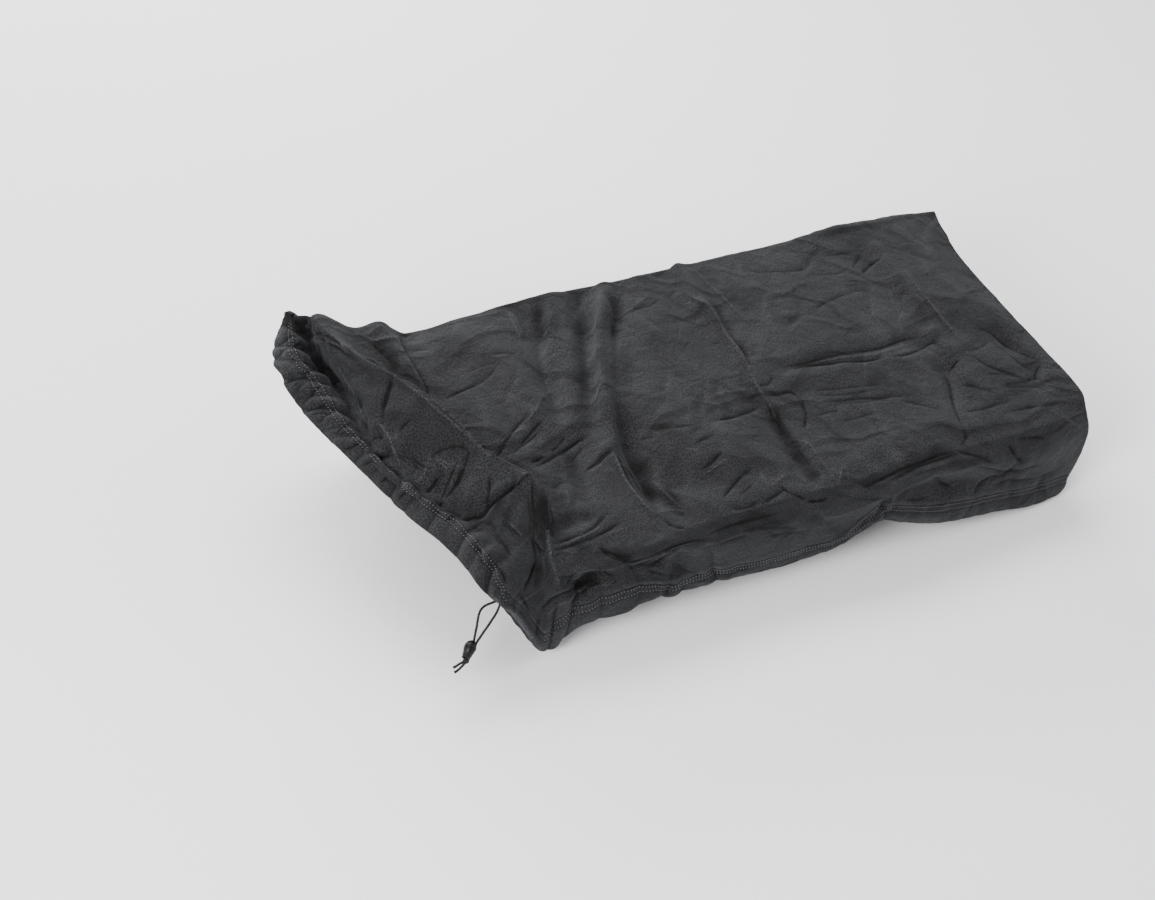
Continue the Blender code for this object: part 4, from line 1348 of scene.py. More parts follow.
def hem_surface(bulge, fullness):
    """The turned-over hem: its outer face, the round lower edge and the flap behind it."""
    rows, round_places, shades = shared(hem_grid)
    normals = grid_normals(rows)
    share = np.linspace(0.0, 1.0, HEM_ROWS + 1)
    downs = SEAM_DOWN + (1 - SEAM_DOWN) * share
    swell = bulge * np.sin(np.pi * np.clip((share - 0.30) / 0.70, 0, 1)) ** 0.8
    groove = stitch_furrows(downs, GROOVE_WIDTH) * STITCH_GROOVE
    faces = list(rows + normals * (swell - groove)[:, None, None])
    edge_down = unit(rows[-1] - rows[-2])
    lowest = faces[-1]
    half = HEM_EDGE_GAP / 2
    for turn in np.radians((45.0, 90.0, 135.0)):
        faces.append(lowest - normals[-1] * half * (1 - math.cos(turn))
                     + edge_down * half * math.sin(turn))
    for row in range(HEM_ROWS, 1, -2):
        gap = HEM_EDGE_GAP + fullness * math.sin(math.pi * (1 - share[row]) ** 0.8)
        gap = max(gap * min(1.0, share[row] / 0.25), HEM_SEAM_GAP)
        faces.append(rows[row] - normals[row] * gap)
    # Painted shade along the stitch furrows.
    groove_painted_shade = stitch_furrows(downs, GROOVE_PAINTED_SHADE_WIDTH) * GROOVE_PAINTED_SHADE
    shades = shades.copy()
    shades[:, :, 0] = np.maximum(shades[:, :, 0], groove_painted_shade[:, None])
    unseen = np.zeros((len(faces) - len(shades),) + shades.shape[1:])
    return np.array(faces), round_places, np.vstack([shades, unseen])


def build_hem_mesh(thickness, bulge, fullness):
    """The drawcord's tunnel round the cover's lower edge."""
    faces, round_places, tones = hem_surface(bulge, fullness)
    rows, count = faces.shape[:2]
    round_table, run_table = hem_runs()
    runs = np.append(np.interp(round_places, round_table, run_table), run_table[-1])
    drops = np.linalg.norm(np.diff(faces, axis=0), axis=2).mean(1)
    depths = np.concatenate([[0.0], np.cumsum(drops)]) + SEAM_DOWN * WALL_LENGTH
    row, index = np.divmod(np.arange((rows - 1) * count), count)
    flats = np.stack([np.column_stack([runs[index + over], -depths[row + below]])
                      for below, over in ((0, 0), (1, 0), (1, 1), (0, 1))], axis=1) * MM
    piece = mesh_from("hem_tunnel", faces.reshape(-1, 3), ring_cells(rows, count), flats,
                      tones.reshape(-1, tones.shape[2]))
    solidify = piece.modifiers.new("thickness", "SOLIDIFY")
    solidify.thickness = thickness
    solidify.offset = -1.0
    solidify.use_even_offset = False
    solidify.use_rim = True
    pick_alone(piece)
    bpy.ops.object.modifier_apply(modifier=solidify.name)
    return piece


# ---------------------------------------------------------------- stitches

def stitch_line(faces, down):
    """Points and normals of a line round the hem's outer face at a place down the wall."""
    outer = faces[:HEM_ROWS + 1]
    normals = grid_normals(outer)
    at = (down - SEAM_DOWN) / (1 - SEAM_DOWN) * HEM_ROWS
    low = int(at)
    share = at - low
    line = outer[low] * (1 - share) + outer[low + 1] * share
    facing = unit(normals[low] * (1 - share) + normals[low + 1] * share)
    return np.vstack([line, line[:1]]), np.vstack([facing, facing[:1]])


def build_stitches(pitch, length, width, bulge, fullness):
    """Two rows of stitches round the hem, each stitch a short raised thread."""
    faces, _, _ = hem_surface(bulge, fullness)
    turns = math.pi / 4 + np.arange(4) * math.pi / 2
    points, cells = [], []
    for number, down in enumerate(STITCH_ROWS):
        line, facing = stitch_line(faces, down)
        runs = run_along(line)

        def read(table, at):
            at = np.clip(at, 0, runs[-1])
            return np.column_stack([np.interp(at, runs, table[:, k]) for k in range(3)])

        count = int(runs[-1] / pitch)
        at = np.clip((np.arange(count) + 0.5 * number) * runs[-1] / count, 0, runs[-1])
        ups = unit(read(facing, at))
        ahead = unit(read(line, at + 0.5) - read(line, at - 0.5))
        across = np.cross(ups, ahead)
        slant = unit(ahead + STITCH_SLANT * across)
        for middle, up, along, over in zip(read(line, at), ups, slant, across):
            if STITCH_GAP[0] < middle[0] < STITCH_GAP[1] and middle[1] < STITCH_GAP[2]:
                continue
            start = len(points)
            top = middle + up * width * STITCH_RIDE
            low = top - up * width * STITCH_DIVE
            points.append(low - along * length / 2)
            for station in (-STITCH_WAIST, STITCH_WAIST):
                points += [top + along * length * station + (over * c + up * s) * width / 2
                           for c, s in zip(np.cos(turns), np.sin(turns))]
            points.append(low + along * length / 2)
            for turn in range(4):
                a, b = start + 1 + turn, start + 1 + (turn + 1) % 4
                cells += [(start, b, a), (a, b, b + 4, a + 4), (a + 4, b + 4, start + 9)]
    return mesh_from("hem_stitches", np.array(points), cells)


# ---------------------------------------------------------------- cords and knot

def braided_tube(route, diameter, flare=0.0):
    """Points, cells and centreline of a round braid along a route; flare opens its end."""
    line, _ = smooth_line(route, CORD_STEP, 4)
    headings = unit(np.gradient(line, axis=0))
    side = np.cross(headings[0], (0.3, 0.2, 1.0))
    sides = []
    for heading in headings:
        side = unit(side - heading * (side @ heading))
        sides.append(side)
    sides = np.array(sides)
    run = run_along(line)[:, None]
    turns = np.arange(CORD_SIDES) * 2 * math.pi / CORD_SIDES
    lay = 2 * math.pi / (BRAID_LAY * diameter)
    angle = turns[None, :] * BRAID_STRANDS / 2
    relief = np.maximum(np.abs(np.cos(angle + lay * run)), np.abs(np.cos(angle - lay * run)))
    radius = diameter / 2 * (1 - BRAID_RELIEF + BRAID_RELIEF * relief)
    left = (run[-1] - run) / diameter
    radius = radius * (1 + flare * np.exp(-(left / 0.8) ** 2))
    around = (sides[:, None, :] * np.cos(turns)[None, :, None]
              + np.cross(headings, sides)[:, None, :] * np.sin(turns)[None, :, None])
    points = (line[:, None, :] + around * radius[:, :, None]).reshape(-1, 3)
    start, end = len(points), len(points) + 1
    last = start - CORD_SIDES
    points = np.vstack([points, line[:1] - (line[1] - line[0]) * 0.5,
                        line[-1:] + unit(line[-1] - line[-2]) * 0.15 * diameter])
    cells = ring_cells(len(line), CORD_SIDES)[:, [0, 3, 2, 1]].tolist()
    for turn in range(CORD_SIDES):
        following = (turn + 1) % CORD_SIDES
        cells += [(start, following, turn), (end, last + turn, last + following)]
    return points, cells, line


def build_knot(diameter):
    """The knot under the lock: a turned loop of cord with two cut ends."""
    turn = np.linspace(0, 2 * math.pi, 61)
    ring = 2 + np.cos(3 * turn)
    loop = np.column_stack([ring * np.cos(2 * turn), np.sin(3 * turn) * 1.25,
                            ring * np.sin(2 * turn)]) * KNOT_SCALE
    points, cells = np.zeros((0, 3)), []
    for route, flare in ((loop, 0.0), *((tail, TAIL_FLARE) for tail in KNOT_TAILS)):
        more, faces, _ = braided_tube(np.array(route) + KNOT_CENTRE, diameter / MM, flare)
        cells += [[len(points) + index for index in face] for face in faces]
        points = np.vstack([points, more])
    return mesh_from("cord_knot_tied", points, cells)


# ---------------------------------------------------------------- the cord lock

def pick_alone(piece):
    """Select one object alone and make it the active one."""
    bpy.ops.object.select_all(action="DESELECT")
    piece.select_set(True)
    bpy.context.view_layer.objects.active = piece


def start_edit(name):
    """Name the new primitive, apply its place and edit it, with nothing of it selected."""
    piece = bpy.context.active_object
    piece.name = piece.data.name = name
    bpy.ops.object.transform_apply(location=True, rotation=False, scale=True)
    pick_alone(piece)
    bpy.ops.object.mode_set(mode="EDIT")
    bpy.ops.mesh.select_mode(type="FACE")
    bpy.ops.mesh.select_all(action="DESELECT")
    return piece


def select_faces(piece, wanted):
    """Select the faces of the edited mesh that wanted(centre, normal) is true for."""
    mesh = bmesh.from_edit_mesh(piece.data)
    for face in mesh.faces:
        face.select_set(bool(wanted(face.calc_center_median(), face.normal)))
    bmesh.update_edit_mesh(piece.data)


def cut_across(height, **options):
    """Cut the edited mesh level at a height."""
    bpy.ops.mesh.select_all(action="SELECT")
    bpy.ops.mesh.bisect(plane_co=(0, 0, height), plane_no=(0, 0, 1), **options)
    bpy.ops.mesh.select_all(action="DESELECT")


def raise_faces(piece, wanted, rise):
    """Raise the chosen faces along their normals as a step."""
    select_faces(piece, wanted)
    bpy.ops.mesh.extrude_region_shrink_fatten(TRANSFORM_OT_shrink_fatten={"value": rise * MM})


def sink(piece, height, inset, depth):
    """Inset the end face below a height and push it in, as a moulded recess."""
    select_faces(piece, lambda middle, normal: normal.z < -0.9 and middle.z < height)
    bpy.ops.mesh.inset(thickness=inset, depth=0.0)
    bpy.ops.mesh.extrude_region_move(TRANSFORM_OT_translate={"value": (0, 0, depth)})
    bpy.ops.mesh.select_all(action="DESELECT")


def finish_turned(piece, place):
    """Round the edges, close up the normals and set the part at its place on the lock's axis."""
    bpy.ops.mesh.select_all(action="SELECT")
    bpy.ops.mesh.remove_doubles(threshold=1e-6)
    bpy.ops.mesh.normals_make_consistent(inside=False)
    bpy.ops.object.mode_set(mode="OBJECT")
    rounding = piece.modifiers.new("rounding", "BEVEL")
    rounding.width = LOCK_ROUNDING * MM
    rounding.segments = 3
    rounding.limit_method = "ANGLE"
    rounding.angle_limit = math.radians(32)
    bpy.ops.object.modifier_apply(modifier=rounding.name)
    bpy.ops.object.shade_smooth_by_angle(angle=math.radians(40))
    axis = Vector(LOCK_TILT).normalized()
    turn = Vector((0, 0, -1)).rotation_difference(axis)
    piece.data.transform(turn.to_matrix().to_4x4())
    piece.data.transform(Matrix.Translation((Vector(LOCK_TOP) + axis * place) * MM))
    piece.data.update()
    return piece


def build_barrel(radius, length):
    """The lock's barrel: an egg with a grip groove, and a lip round the button's mouth."""
    bpy.ops.object.select_all(action="DESELECT")
    bpy.ops.mesh.primitive_uv_sphere_add(segments=LOCK_SIDES, ring_count=BARREL_RINGS,
                                         radius=1.0, location=(0, 0, -length / 2))
    bpy.context.active_object.scale = (radius, radius, length * 0.52)
    piece = start_edit("cord_lock_body")
    mouth = -BARREL_MOUTH * length
    cut_across(mouth, use_fill=True, clear_inner=True)
    for share in (*BARREL_GROOVE, BARREL_LIP):
        cut_across(-share * length)
    high, low = (-share * length for share in BARREL_GROOVE)
    raise_faces(piece, lambda middle, normal: low < middle.z < high, BARREL_GROOVE_DEPTH)
    raise_faces(piece, lambda middle, normal: normal.z > -0.9
                and middle.z < -BARREL_LIP * length, BARREL_LIP_RISE)
    sink(piece, mouth + 1e-5, radius * 0.12, 0.12 * length)
    return finish_turned(piece, 0.0)


def build_button(radius, length):
    """The lock's button: a short plunger with a dished end that the cords leave through."""
    bpy.ops.object.select_all(action="DESELECT")
    bpy.ops.mesh.primitive_cylinder_add(vertices=LOCK_SIDES, radius=radius, depth=length,
                                        location=(0, 0, -length / 2))
    piece = start_edit("cord_lock_plunger")
    collar = -BUTTON_COLLAR * length
    cut_across(collar)
    raise_faces(piece, lambda middle, normal: abs(normal.z) < 0.5 and middle.z > collar,
                BUTTON_COLLAR_RISE)
    sink(piece, -length + 1e-5, radius * 0.38, 0.3 * length)
    return finish_turned(piece, LOCK_LENGTH * BUTTON_SEAT + LOCK_GAP)


# ---------------------------------------------------------------- finishes

# Node trees are laid out from left to right: their first column and the steps on from it.
FIRST_COLUMN = -1800
COLUMN_STEP = 190
ROW_STEP = 260
SHADER_COLUMN = 900

# Painted highlight and painted shade: share of the cloth's colour painted on a crest and at the
# bottom of a deep crease, 1 on flat cloth.
CREST_PAINTED_HIGHLIGHT = 2.1
CREASE_PAINTED_SHADE = 0.06
# Half width of the thin painted shade and highlight lines, and how much painted shade small creases
# get from their depth.
LINE_WIDTH = 2.0
SMALL_CREASE_PAINTED_SHADE = 0.50
# Small creases: the way they lie in degrees, how drawn out they are, and their share.
SMALL_CREASES = ((8.0, 3.4, 1.0), (62.0, 3.0, -0.8), (-48.0, 3.2, 0.9), (95.0, 2.6, -0.7))


def new_node(tree, kind, *inputs, **values):
    """Add a shader node beside those it reads. Its inputs, in order or by name, are numbers or
    sockets to link from; any other name is one of the node's settings."""
    node = tree.nodes.new("ShaderNode" + kind)
    names = {socket.name.lower().replace(" ", "_"): socket for socket in reversed(node.inputs)}
    settings = [name for name in values if name not in names or hasattr(type(node), name)]
    for name in settings:
        setattr(node, name, values.pop(name))
    column = FIRST_COLUMN
    for name, value in (*enumerate(inputs), *values.items()):
        socket = node.inputs[name] if isinstance(name, int) else names[name]
        if isinstance(value, bpy.types.NodeSocket):
            tree.links.new(value, socket)
            column = max(column, value.node.location.x)
        else:
            socket.default_value = value
    column += COLUMN_STEP
    above = sum(other.location.x == column for other in tree.nodes)
    node.location = (column, -ROW_STEP * above)
    return node


def math_node(tree, operation, *inputs, **values):
    """The result of a math node whose inputs are sockets or numbers."""
    return new_node(tree, "Math", *inputs, operation=operation, **values).outputs[0]


def added(tree, values):
    """The sum of a few sockets."""
    total, *others = values
    for value in others:
        total = math_node(tree, "ADD", total, value)
    return total


def noise_value(tree, place, scale, detail, roughness=0.5, **values):
    """The value of a noise at a place, from 0 to 1."""
    return new_node(tree, "TexNoise", vector=place, scale=scale, detail=detail,
                    roughness=roughness, **values).outputs["Fac"]


def group_of(name, place, amount, value, outputs, fill):
    """The shader node group of a name, built once. It reads a place and one amount, and fill
    makes its nodes and returns what the outputs show."""
    group = bpy.data.node_groups.get(name)
    if group is None:
        group = bpy.data.node_groups.new(name, "ShaderNodeTree")
        new_socket = group.interface.new_socket
        new_socket(name=place, in_out="INPUT", socket_type="NodeSocketVector")
        new_socket(name=amount, in_out="INPUT", socket_type="NodeSocketFloat").default_value = value
        for label in outputs:
            new_socket(name=label, in_out="OUTPUT", socket_type="NodeSocketFloat")
        entry = group.nodes.new("NodeGroupInput")
        entry.location = (FIRST_COLUMN, 0)
        leave = group.nodes.new("NodeGroupOutput")
        leave.location = (SHADER_COLUMN, 0)
        for label, result in zip(outputs, fill(group, *entry.outputs[:2])):
            group.links.new(result, leave.inputs[label])
    return group


def fill_weave(group, place, ribs):
    """Height of a fine ribbed weave on the cloth's flat pattern, and a soft mottle."""
    split = new_node(group, "SeparateXYZ", place)
    waves = []
    for axis, share in (("X", 1.0), ("Y", 1.35)):
        turned = math_node(group, "MULTIPLY", split.outputs[axis], ribs)
        turned = math_node(group, "MULTIPLY", turned, 2 * math.pi * share)
        waves.append(math_node(group, "SINE", turned))
    crossed = math_node(group, "MULTIPLY", *waves)
    woven = math_node(group, "ADD", crossed, math_node(group, "MULTIPLY", waves[1], 0.55))
    slub = math_node(group, "MULTIPLY", noise_value(group, place, 190.0, 3.0), 0.9)
    return math_node(group, "ADD", woven, slub), noise_value(group, place, 46.0, 5.0, 0.62)


def fill_creases(group, place, fineness):
    """Height of small soft creases with crisp crests, each way of lying in patches of its own."""
    bend = new_node(group, "TexNoise", vector=place, scale=17.0, detail=1.0)
    centred = new_node(group, "VectorMath", bend.outputs["Color"], (0.5, 0.5, 0.5),
                       operation="SUBTRACT")
    bent = new_node(group, "VectorMath", centred.outputs[0], operation="SCALE", scale=0.030)
    place = new_node(group, "VectorMath", place, bent.outputs[0], operation="ADD").outputs[0]
    crests = []
    for number, (angle, stretch, share) in enumerate(SMALL_CREASES):
        turn = new_node(group, "Mapping", place, (0.31 * number, 0.17 * number, 0.0),
                        vector_type="TEXTURE", rotation=(0.0, 0.0, math.radians(angle)),
                        scale=(stretch, 1.0, 1.0)).outputs[0]
        off = math_node(group, "SUBTRACT", noise_value(group, turn, fineness, 0.6, 0.35), 0.5)
        steep = math_node(group, "MULTIPLY", math_node(group, "ABSOLUTE", off), 9.0)
        crest = math_node(group, "MAXIMUM", math_node(group, "SUBTRACT", 1.0, steep), 0.0)
        patch = math_node(group, "SUBTRACT", noise_value(group, turn, 15.0, 1.0), 0.44)
        patch = math_node(group, "MULTIPLY", patch, 6.0, use_clamp=True)
        crest = math_node(group, "MULTIPLY", crest, patch)
        crests.append(math_node(group, "MULTIPLY", crest, share))
    return (added(group, crests),)


def fill_grain(group, place, fineness):
    """Height of a fine moulded grain, and a mask of small scuffs."""
    scuffs = math_node(group, "SUBTRACT", noise_value(group, place, 420.0, 6.0, 0.75), 0.52)
    return (noise_value(group, place, fineness, 4.0, 0.7),
            math_node(group, "MULTIPLY", scuffs, 5.0))


def place_group(tree, group, place, **values):
    """Place a node group in a material; it reads the place given."""
    node = new_node(tree, "Group", node_tree=group)
    tree.links.new(place, node.inputs[0])
    node.location.x = place.node.location.x + COLUMN_STEP
    for label, value in values.items():
        node.inputs[label.replace("_", " ")].default_value = value
    return node


def toned(colour, share=1.0):
    """A colour at a share of its brightness, with its alpha."""
    return (*(part * share for part in colour), 1.0)


def new_material(name, colour, roughness, **shader_values):
    """A material with its own Principled shader and constant values on that shader."""
    material = bpy.data.materials.new(name)
    material.use_nodes = True
    material.diffuse_color = toned(colour)
    tree = material.node_tree
    shader = tree.nodes["Principled BSDF"]
    shader.location.x = SHADER_COLUMN
    tree.nodes["Material Output"].location.x = SHADER_COLUMN + 2 * COLUMN_STEP
    shader.inputs["Base Color"].default_value = toned(colour)
    shader.inputs["Roughness"].default_value = roughness
    for label, value in shader_values.items():
        shader.inputs[label.replace("_", " ")].default_value = value
    return material, tree, shader


def two_tones(tree, factor, dark, light):
    """A colour between two tones by a factor."""
    ramp = new_node(tree, "ValToRGB", factor)
    for element, place, colour in zip(ramp.color_ramp.elements, (0.30, 0.72), (dark, light)):
        element.position = place
        element.color = colour
    return ramp.outputs["Color"]


def bump_chain(tree, shader, heights):
    """Bump nodes one after another: (height socket, strength, distance in metres)."""
    before = {}
    for height, strength, distance in heights:
        bump = new_node(tree, "Bump", height=height, strength=strength, distance=distance,
                        **before)
        before = {"normal": bump.outputs["Normal"]}
    tree.links.new(before["normal"], shader.inputs["Normal"])


def painted_crease_lines(tree):
    """Painted shade and painted highlight: thin dark lines along the sharp creases and light ones
    along their crests, from the cloth's line attributes.
    """
    away, depth = (new_node(tree, "SeparateXYZ", new_node(
        tree, "Attribute", attribute_name=name).outputs["Vector"])
        for name in ("line_away", "line_depth"))
    shown = []
    for number in range(LINE_LAYERS):
        line = new_node(tree, "MapRange", math_node(tree, "ABSOLUTE", away.outputs[number]),
                        from_min=0.0, from_max=LINE_WIDTH / LINE_REACH, to_min=1.0, to_max=0.0,
                        interpolation_type="SMOOTHSTEP")
        shown.append(math_node(tree, "MULTIPLY", line.outputs["Result"],
                               depth.outputs[number]))
    return added(tree, shown)


def cloth_material(colour, ribs):
    """Charcoal woven cloth: fine ribs, soft sheen, faint mottle and small crumple marks, with
    painted shade in the creases and painted highlight on their crests.
    """
    material, tree, shader = new_material(
        "charcoal_weave", colour, 0.78, Specular_IOR_Level=0.14, Sheen_Weight=0.07,
        Sheen_Roughness=0.5, Sheen_Tint=(0.80, 0.82, 0.88, 1.0))
    pattern = new_node(tree, "UVMap", uv_map="pattern").outputs["UV"]
    weave = place_group(tree, group_of("fine_rib_weave", "Pattern", "Ribs per metre", 900.0,
                                       ("Height", "Mottle"), fill_weave), pattern,
                        Ribs_per_metre=ribs).outputs
    creases = place_group(tree, group_of("small_creases", "Pattern", "Creases per metre", 26.0,
                                         ("Height",), fill_creases), pattern).outputs[0]
    flecks = math_node(tree, "MULTIPLY_ADD", noise_value(tree, pattern, 640.0, 1.0, 0.6),
                       4.2, -2.1)
    shown_ribs = math_node(tree, "MULTIPLY", weave["Height"], 0.16)
    tone = added(tree, (weave["Mottle"], shown_ribs, flecks))
    woven = two_tones(tree, tone, toned(colour, 0.36), toned(colour, 1.75))
    # Painted shade and painted highlight: the mesh's crease tones, its thin lines and the small
    # creases darken the cloth in creases and lighten it on crests.
    deep = new_node(tree, "Attribute", attribute_name="crease").outputs["Fac"]
    depth = math_node(tree, "ADD", deep, painted_crease_lines(tree))
    small_crease_shading = math_node(tree, "MULTIPLY", creases, SMALL_CREASE_PAINTED_SHADE)
    shown = new_node(tree, "MapRange", math_node(tree, "ADD", depth, small_crease_shading), from_min=-1.0,
                     from_max=1.0, to_min=CREST_PAINTED_HIGHLIGHT, to_max=CREASE_PAINTED_SHADE)
    shaded = new_node(tree, "VectorMath", woven, operation="SCALE",
                      scale=shown.outputs["Result"])
    tree.links.new(shaded.outputs[0], shader.inputs["Base Color"])
    place = new_node(tree, "TexCoord").outputs["Object"]
    crumple = noise_value(tree, place, 85.0, 4.0, 0.55, distortion=0.9)
    bump_chain(tree, shader, ((creases, 0.80, 0.0022), (crumple, 0.8, 0.0030),
                              (weave["Height"], 0.5, 0.00016)))
    return material


def fibre_material(name, colour, roughness, grain, tones, bump=None, **shader_values):
    """A finish with a fine grain: the grain is (scale, detail, roughness) of its noise, tones
    are the shares of the colour it goes between, and bump is its (strength, distance)."""
    material, tree, shader = new_material(name, colour, roughness, **shader_values)
    fibre = noise_value(tree, new_node(tree, "TexCoord").outputs["Object"], *grain)
    dark, light = (toned(colour, share) for share in tones)
    tree.links.new(two_tones(tree, fibre, dark, light), shader.inputs["Base Color"])
    if bump is not None:
        bump_chain(tree, shader, ((fibre, *bump),))
    return material


def plastic_material(name, colour, roughness):
    """Satin moulded plastic with a fine grain and a few paler scuffs."""
    material, tree, shader = new_material(name, colour, roughness, Specular_IOR_Level=0.22)
    grain = place_group(tree, group_of("moulded_grain", "Place", "Grain per metre", 2600.0,
                                       ("Height", "Scuffs"), fill_grain),
                        new_node(tree, "TexCoord").outputs["Object"]).outputs
    worn = two_tones(tree, grain["Scuffs"], toned(colour), toned(colour, 1.7))
    tree.links.new(worn, shader.inputs["Base Color"])
    rough = new_node(tree, "MapRange", grain["Scuffs"], to_min=roughness - 0.05,
                     to_max=roughness + 0.16)
    tree.links.new(rough.outputs["Result"], shader.inputs["Roughness"])
    bump_chain(tree, shader, ((grain["Height"], 0.25, 0.00012),))
    return material


def put_material(piece, material):
    """Give a piece one finish."""
    piece.data.materials.clear()
    piece.data.materials.append(material)


def place_piece(piece, material, slot, *nodes):
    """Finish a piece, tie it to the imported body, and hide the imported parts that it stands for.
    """
    put_material(piece, material)
    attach(piece, "root")
    if nodes:
        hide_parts(*nodes)


# ---------------------------------------------------------------- what a user may change

SIZE = {"unit": "LENGTH", "precision": 5}
COLOUR = {"size": 3, "min": 0.0, "max": 1.0, "subtype": "COLOR"}


class PIANOCOVER_PG_cloth(bpy.types.PropertyGroup):
    """Sizes and colour of the cloth and its drawn hem."""

    thickness: bpy.props.FloatProperty(
        name="Thickness", description="Thickness of the hem's cloth", default=0.0008,
        min=0.0002, max=0.003, **SIZE)
    backing: bpy.props.FloatProperty(
        name="Inner face", description="How far the plain inner face lies behind the outer",
        default=0.002, min=0.001, max=0.004, **SIZE)
    colour: bpy.props.FloatVectorProperty(
        name="Cloth", description="Colour of the cloth", default=(0.0088, 0.0088, 0.0096),
        **COLOUR)
    ribs: bpy.props.FloatProperty(
        name="Ribs per metre", description="How fine the weave is", default=760.0,
        min=100.0, max=3000.0)
    bulge: bpy.props.FloatProperty(
        name="Hem bulge", description="How far the turned-over hem stands out",
        default=0.0015, min=0.0, max=0.006, **SIZE)
    fullness: bpy.props.FloatProperty(
        name="Hem fullness", description="Room for the drawcord inside the hem",
        default=0.0026, min=0.0, max=0.008, **SIZE)


class PIANOCOVER_PG_stitches(bpy.types.PropertyGroup):
    """Sizes and colour of the hem's stitches."""

    pitch: bpy.props.FloatProperty(
        name="Pitch", description="From one stitch to the next", default=0.0034,
        min=0.001, max=0.02, **SIZE)
    length: bpy.props.FloatProperty(
        name="Stitch", description="Length of a stitch", default=0.0018,
        min=0.0005, max=0.02, **SIZE)
    width: bpy.props.FloatProperty(
        name="Thread", description="Diameter of the thread", default=0.0010,
        min=0.0002, max=0.003, **SIZE)
    colour: bpy.props.FloatVectorProperty(
        name="Thread colour", description="Colour of the thread",
        default=(0.0750, 0.0750, 0.0775), **COLOUR)


class PIANOCOVER_PG_cord(bpy.types.PropertyGroup):
    """Size and colour of the drawcord."""

    diameter: bpy.props.FloatProperty(
        name="Diameter", description="Diameter of the drawcord", default=0.0025,
        min=0.001, max=0.006, **SIZE)
    colour: bpy.props.FloatVectorProperty(
        name="Cord", description="Colour of the drawcord", default=(0.0050, 0.0051, 0.0056),
        **COLOUR)


class PIANOCOVER_PG_lock(bpy.types.PropertyGroup):
    """Sizes and colours of the cord lock."""

    radius: bpy.props.FloatProperty(
        name="Barrel radius", description="Radius of the barrel", default=0.006,
        min=0.003, max=0.012, **SIZE)
    length: bpy.props.FloatProperty(
        name="Barrel length", description="Length of the barrel", default=0.015,
        min=0.008, max=0.03, **SIZE)
    button_radius: bpy.props.FloatProperty(
        name="Button radius", description="Radius of the button", default=0.0042,
        min=0.002, max=0.01, **SIZE)
    button_length: bpy.props.FloatProperty(
        name="Button length", description="How far the button stands out", default=0.005,
        min=0.001, max=0.012, **SIZE)
    colour: bpy.props.FloatVectorProperty(
        name="Plastic", description="Colour of the barrel", default=(0.0030, 0.0030, 0.0032),
        **COLOUR)
    button_colour: bpy.props.FloatVectorProperty(
        name="Button", description="Colour of the button", default=(0.0060, 0.0060, 0.0063),
        **COLOUR)


class PIANOCOVER_PG_stage(bpy.types.PropertyGroup):
    """Floor colour and light of the studio."""

    floor: bpy.props.FloatVectorProperty(
        name="Floor", description="Colour of the floor", default=(0.88, 0.88, 0.885), **COLOUR)
    strength: bpy.props.FloatProperty(
        name="Light", description="Strength of all lights", default=1.0, min=0.0, max=10.0)


# ---------------------------------------------------------------- operators

class PIANOCOVER_OT_stage(bpy.types.Operator):
    """Make the camera, the floor and the lights"""

    bl_idname = "piano_cover.stage"
    bl_label = "Stage"

    def execute(self, context):
        sizes = context.scene.piano_cover_stage
        lens = bpy.data.cameras.new("camera")
        lens.sensor_width = 36.0
        lens.lens = CAMERA_LENS
        lens.clip_start = 0.05
        lens.clip_end = 50.0
        camera = bpy.data.objects.new("camera", lens)
        ahead = Vector(CAMERA_AHEAD).normalized()
        right = Vector(CAMERA_RIGHT)
        right = (right - ahead * right.dot(ahead)).normalized()
        turn = Matrix((right, right.cross(ahead), -ahead)).transposed()
        camera.matrix_world = Matrix.Translation(CAMERA_PLACE) @ turn.to_4x4()
        context.scene.collection.objects.link(camera)
        bpy.context.scene.camera = camera
        bpy.ops.object.select_all(action="DESELECT")
        bpy.ops.mesh.primitive_circle_add(vertices=128, radius=FLOOR_RADIUS, fill_type="NGON",
                                          location=(0.0, 0.0, FLOOR_HEIGHT))
        floor = context.active_object
        floor.name = "studio_floor"
        put_material(floor, fibre_material("studio_floor", sizes.floor, 0.85, (0.8, 1.0),
                                           (0.985, 1.0), Specular_IOR_Level=0.2))
        for name, place, aim, width, height, power in LIGHTS:
            light = bpy.data.lights.new(name, "AREA")
            light.shape = "RECTANGLE"
            light.size = width
            light.size_y = height
            light.energy = power * sizes.strength
            holder = bpy.data.objects.new(name, light)
            holder.location = place
            facing = Vector(aim) - Vector(place)
            holder.rotation_euler = facing.to_track_quat("-Z", "Y").to_euler()
            context.scene.collection.objects.link(holder)
        world = bpy.data.worlds.new("studio")
        world.use_nodes = True
        sky = world.node_tree.nodes["Background"]
        sky.inputs["Color"].default_value = toned(WORLD_COLOUR)
        sky.inputs["Strength"].default_value = WORLD_STRENGTH * sizes.strength
        context.scene.world = world
        return {"FINISHED"}


class PIANOCOVER_OT_cords(bpy.types.Operator):
    """Make the two ends of the drawcord and their knot"""

    bl_idname = "piano_cover.cords"
    bl_label = "Drawcord"

    def execute(self, context):
        sizes = context.scene.piano_cover_cord
        material = fibre_material(
            "black_braid", sizes.colour, 0.62, (2100.0, 4.0, 0.7), (0.55, 2.6),
            (0.5, 0.00015), Specular_IOR_Level=0.18, Sheen_Weight=0.06, Sheen_Roughness=0.4)
        for name, node, _, route in CORDS:
            points, cells, line = braided_tube(route, sizes.diameter / MM)
            place_piece(mesh_from(name, points, cells), material, "cord", node)
            SHARED[name] = (line * MM).tolist()
        place_piece(build_knot(sizes.diameter), material, "cord", "cord_knot")
        return {"FINISHED"}


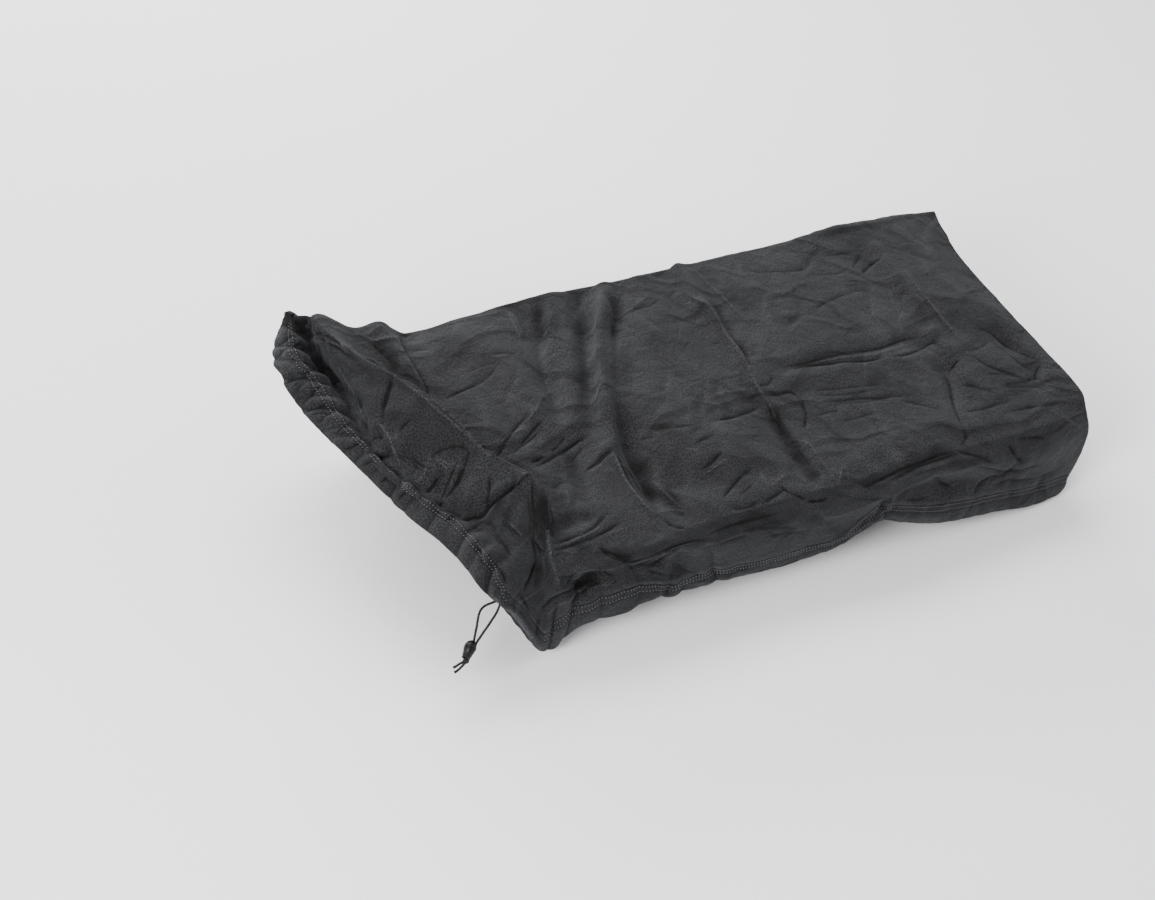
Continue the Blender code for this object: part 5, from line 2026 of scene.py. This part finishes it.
class PIANOCOVER_OT_lock(bpy.types.Operator):
    """Make the cord lock's barrel and button"""

    bl_idname = "piano_cover.lock"
    bl_label = "Cord lock"

    def execute(self, context):
        sizes = context.scene.piano_cover_lock
        place_piece(build_barrel(sizes.radius, sizes.length),
                    plastic_material("lock_plastic", sizes.colour, 0.42),
                    "lock", "cord_lock_barrel")
        place_piece(build_button(sizes.button_radius, sizes.button_length),
                    plastic_material("button_plastic", sizes.button_colour, 0.38),
                    "lock_button", "cord_lock_button")
        return {"FINISHED"}


class PIANOCOVER_OT_cloth(bpy.types.Operator):
    """Make the cloth of the top and walls, and the drawn hem"""

    bl_idname = "piano_cover.cloth"
    bl_label = "Cloth and hem"

    def execute(self, context):
        sizes = context.scene.piano_cover_cloth
        material = cloth_material(sizes.colour, sizes.ribs)
        place_piece(build_cloth_mesh(sizes.backing / MM), material, "cloth", "cover_cloth")
        place_piece(build_hem_mesh(sizes.thickness, sizes.bulge / MM, sizes.fullness / MM),
                    material, "cloth", "cover_cloth")
        return {"FINISHED"}


class PIANOCOVER_OT_stitches(bpy.types.Operator):
    """Sew the two rows of stitches along the hem"""

    bl_idname = "piano_cover.stitches"
    bl_label = "Stitches"

    def execute(self, context):
        sizes = context.scene.piano_cover_stitches
        hem = context.scene.piano_cover_cloth
        thread = fibre_material(
            "sewing_thread", sizes.colour, 0.5, (1400.0, 3.0), (0.7, 1.25), (0.4, 0.0001),
            Specular_IOR_Level=0.2, Sheen_Weight=0.05)
        place_piece(build_stitches(sizes.pitch / MM, sizes.length / MM, sizes.width / MM,
                                   hem.bulge / MM, hem.fullness / MM), thread, "cloth")
        return {"FINISHED"}


class PIANOCOVER_PT_panel(bpy.types.Panel):
    """The cover's sizes, colours and pieces"""

    bl_idname = "PIANOCOVER_PT_panel"
    bl_label = "Piano cover"
    bl_space_type = "VIEW_3D"
    bl_region_type = "UI"
    bl_category = "Piano cover"

    def draw(self, context):
        for name, group, operator in STEPS:
            box = self.layout.box()
            for title in group.__annotations__:
                box.prop(getattr(context.scene, name), title)
            box.operator(operator.bl_idname)


# The steps in their order: where the scene keeps the sizes, the sizes and the operator.
STEPS = (
    ("piano_cover_stage", PIANOCOVER_PG_stage, PIANOCOVER_OT_stage),
    ("piano_cover_cord", PIANOCOVER_PG_cord, PIANOCOVER_OT_cords),
    ("piano_cover_lock", PIANOCOVER_PG_lock, PIANOCOVER_OT_lock),
    ("piano_cover_cloth", PIANOCOVER_PG_cloth, PIANOCOVER_OT_cloth),
    ("piano_cover_stitches", PIANOCOVER_PG_stitches, PIANOCOVER_OT_stitches),
)
CLASSES = (*(one for step in STEPS for one in step[1:]), PIANOCOVER_PT_panel)


def register():
    for one in CLASSES:
        bpy.utils.register_class(one)
    for name, group, _ in STEPS:
        setattr(bpy.types.Scene, name, bpy.props.PointerProperty(type=group))


def unregister():
    for name, _, _ in STEPS:
        delattr(bpy.types.Scene, name)
    for one in reversed(CLASSES):
        bpy.utils.unregister_class(one)


def main():
    register()
    bpy.ops.piano_cover.stage()
    bpy.ops.piano_cover.cords()
    bpy.ops.piano_cover.lock()
    bpy.ops.piano_cover.cloth()
    bpy.ops.piano_cover.stitches()


if __name__ == "__main__":
    main()
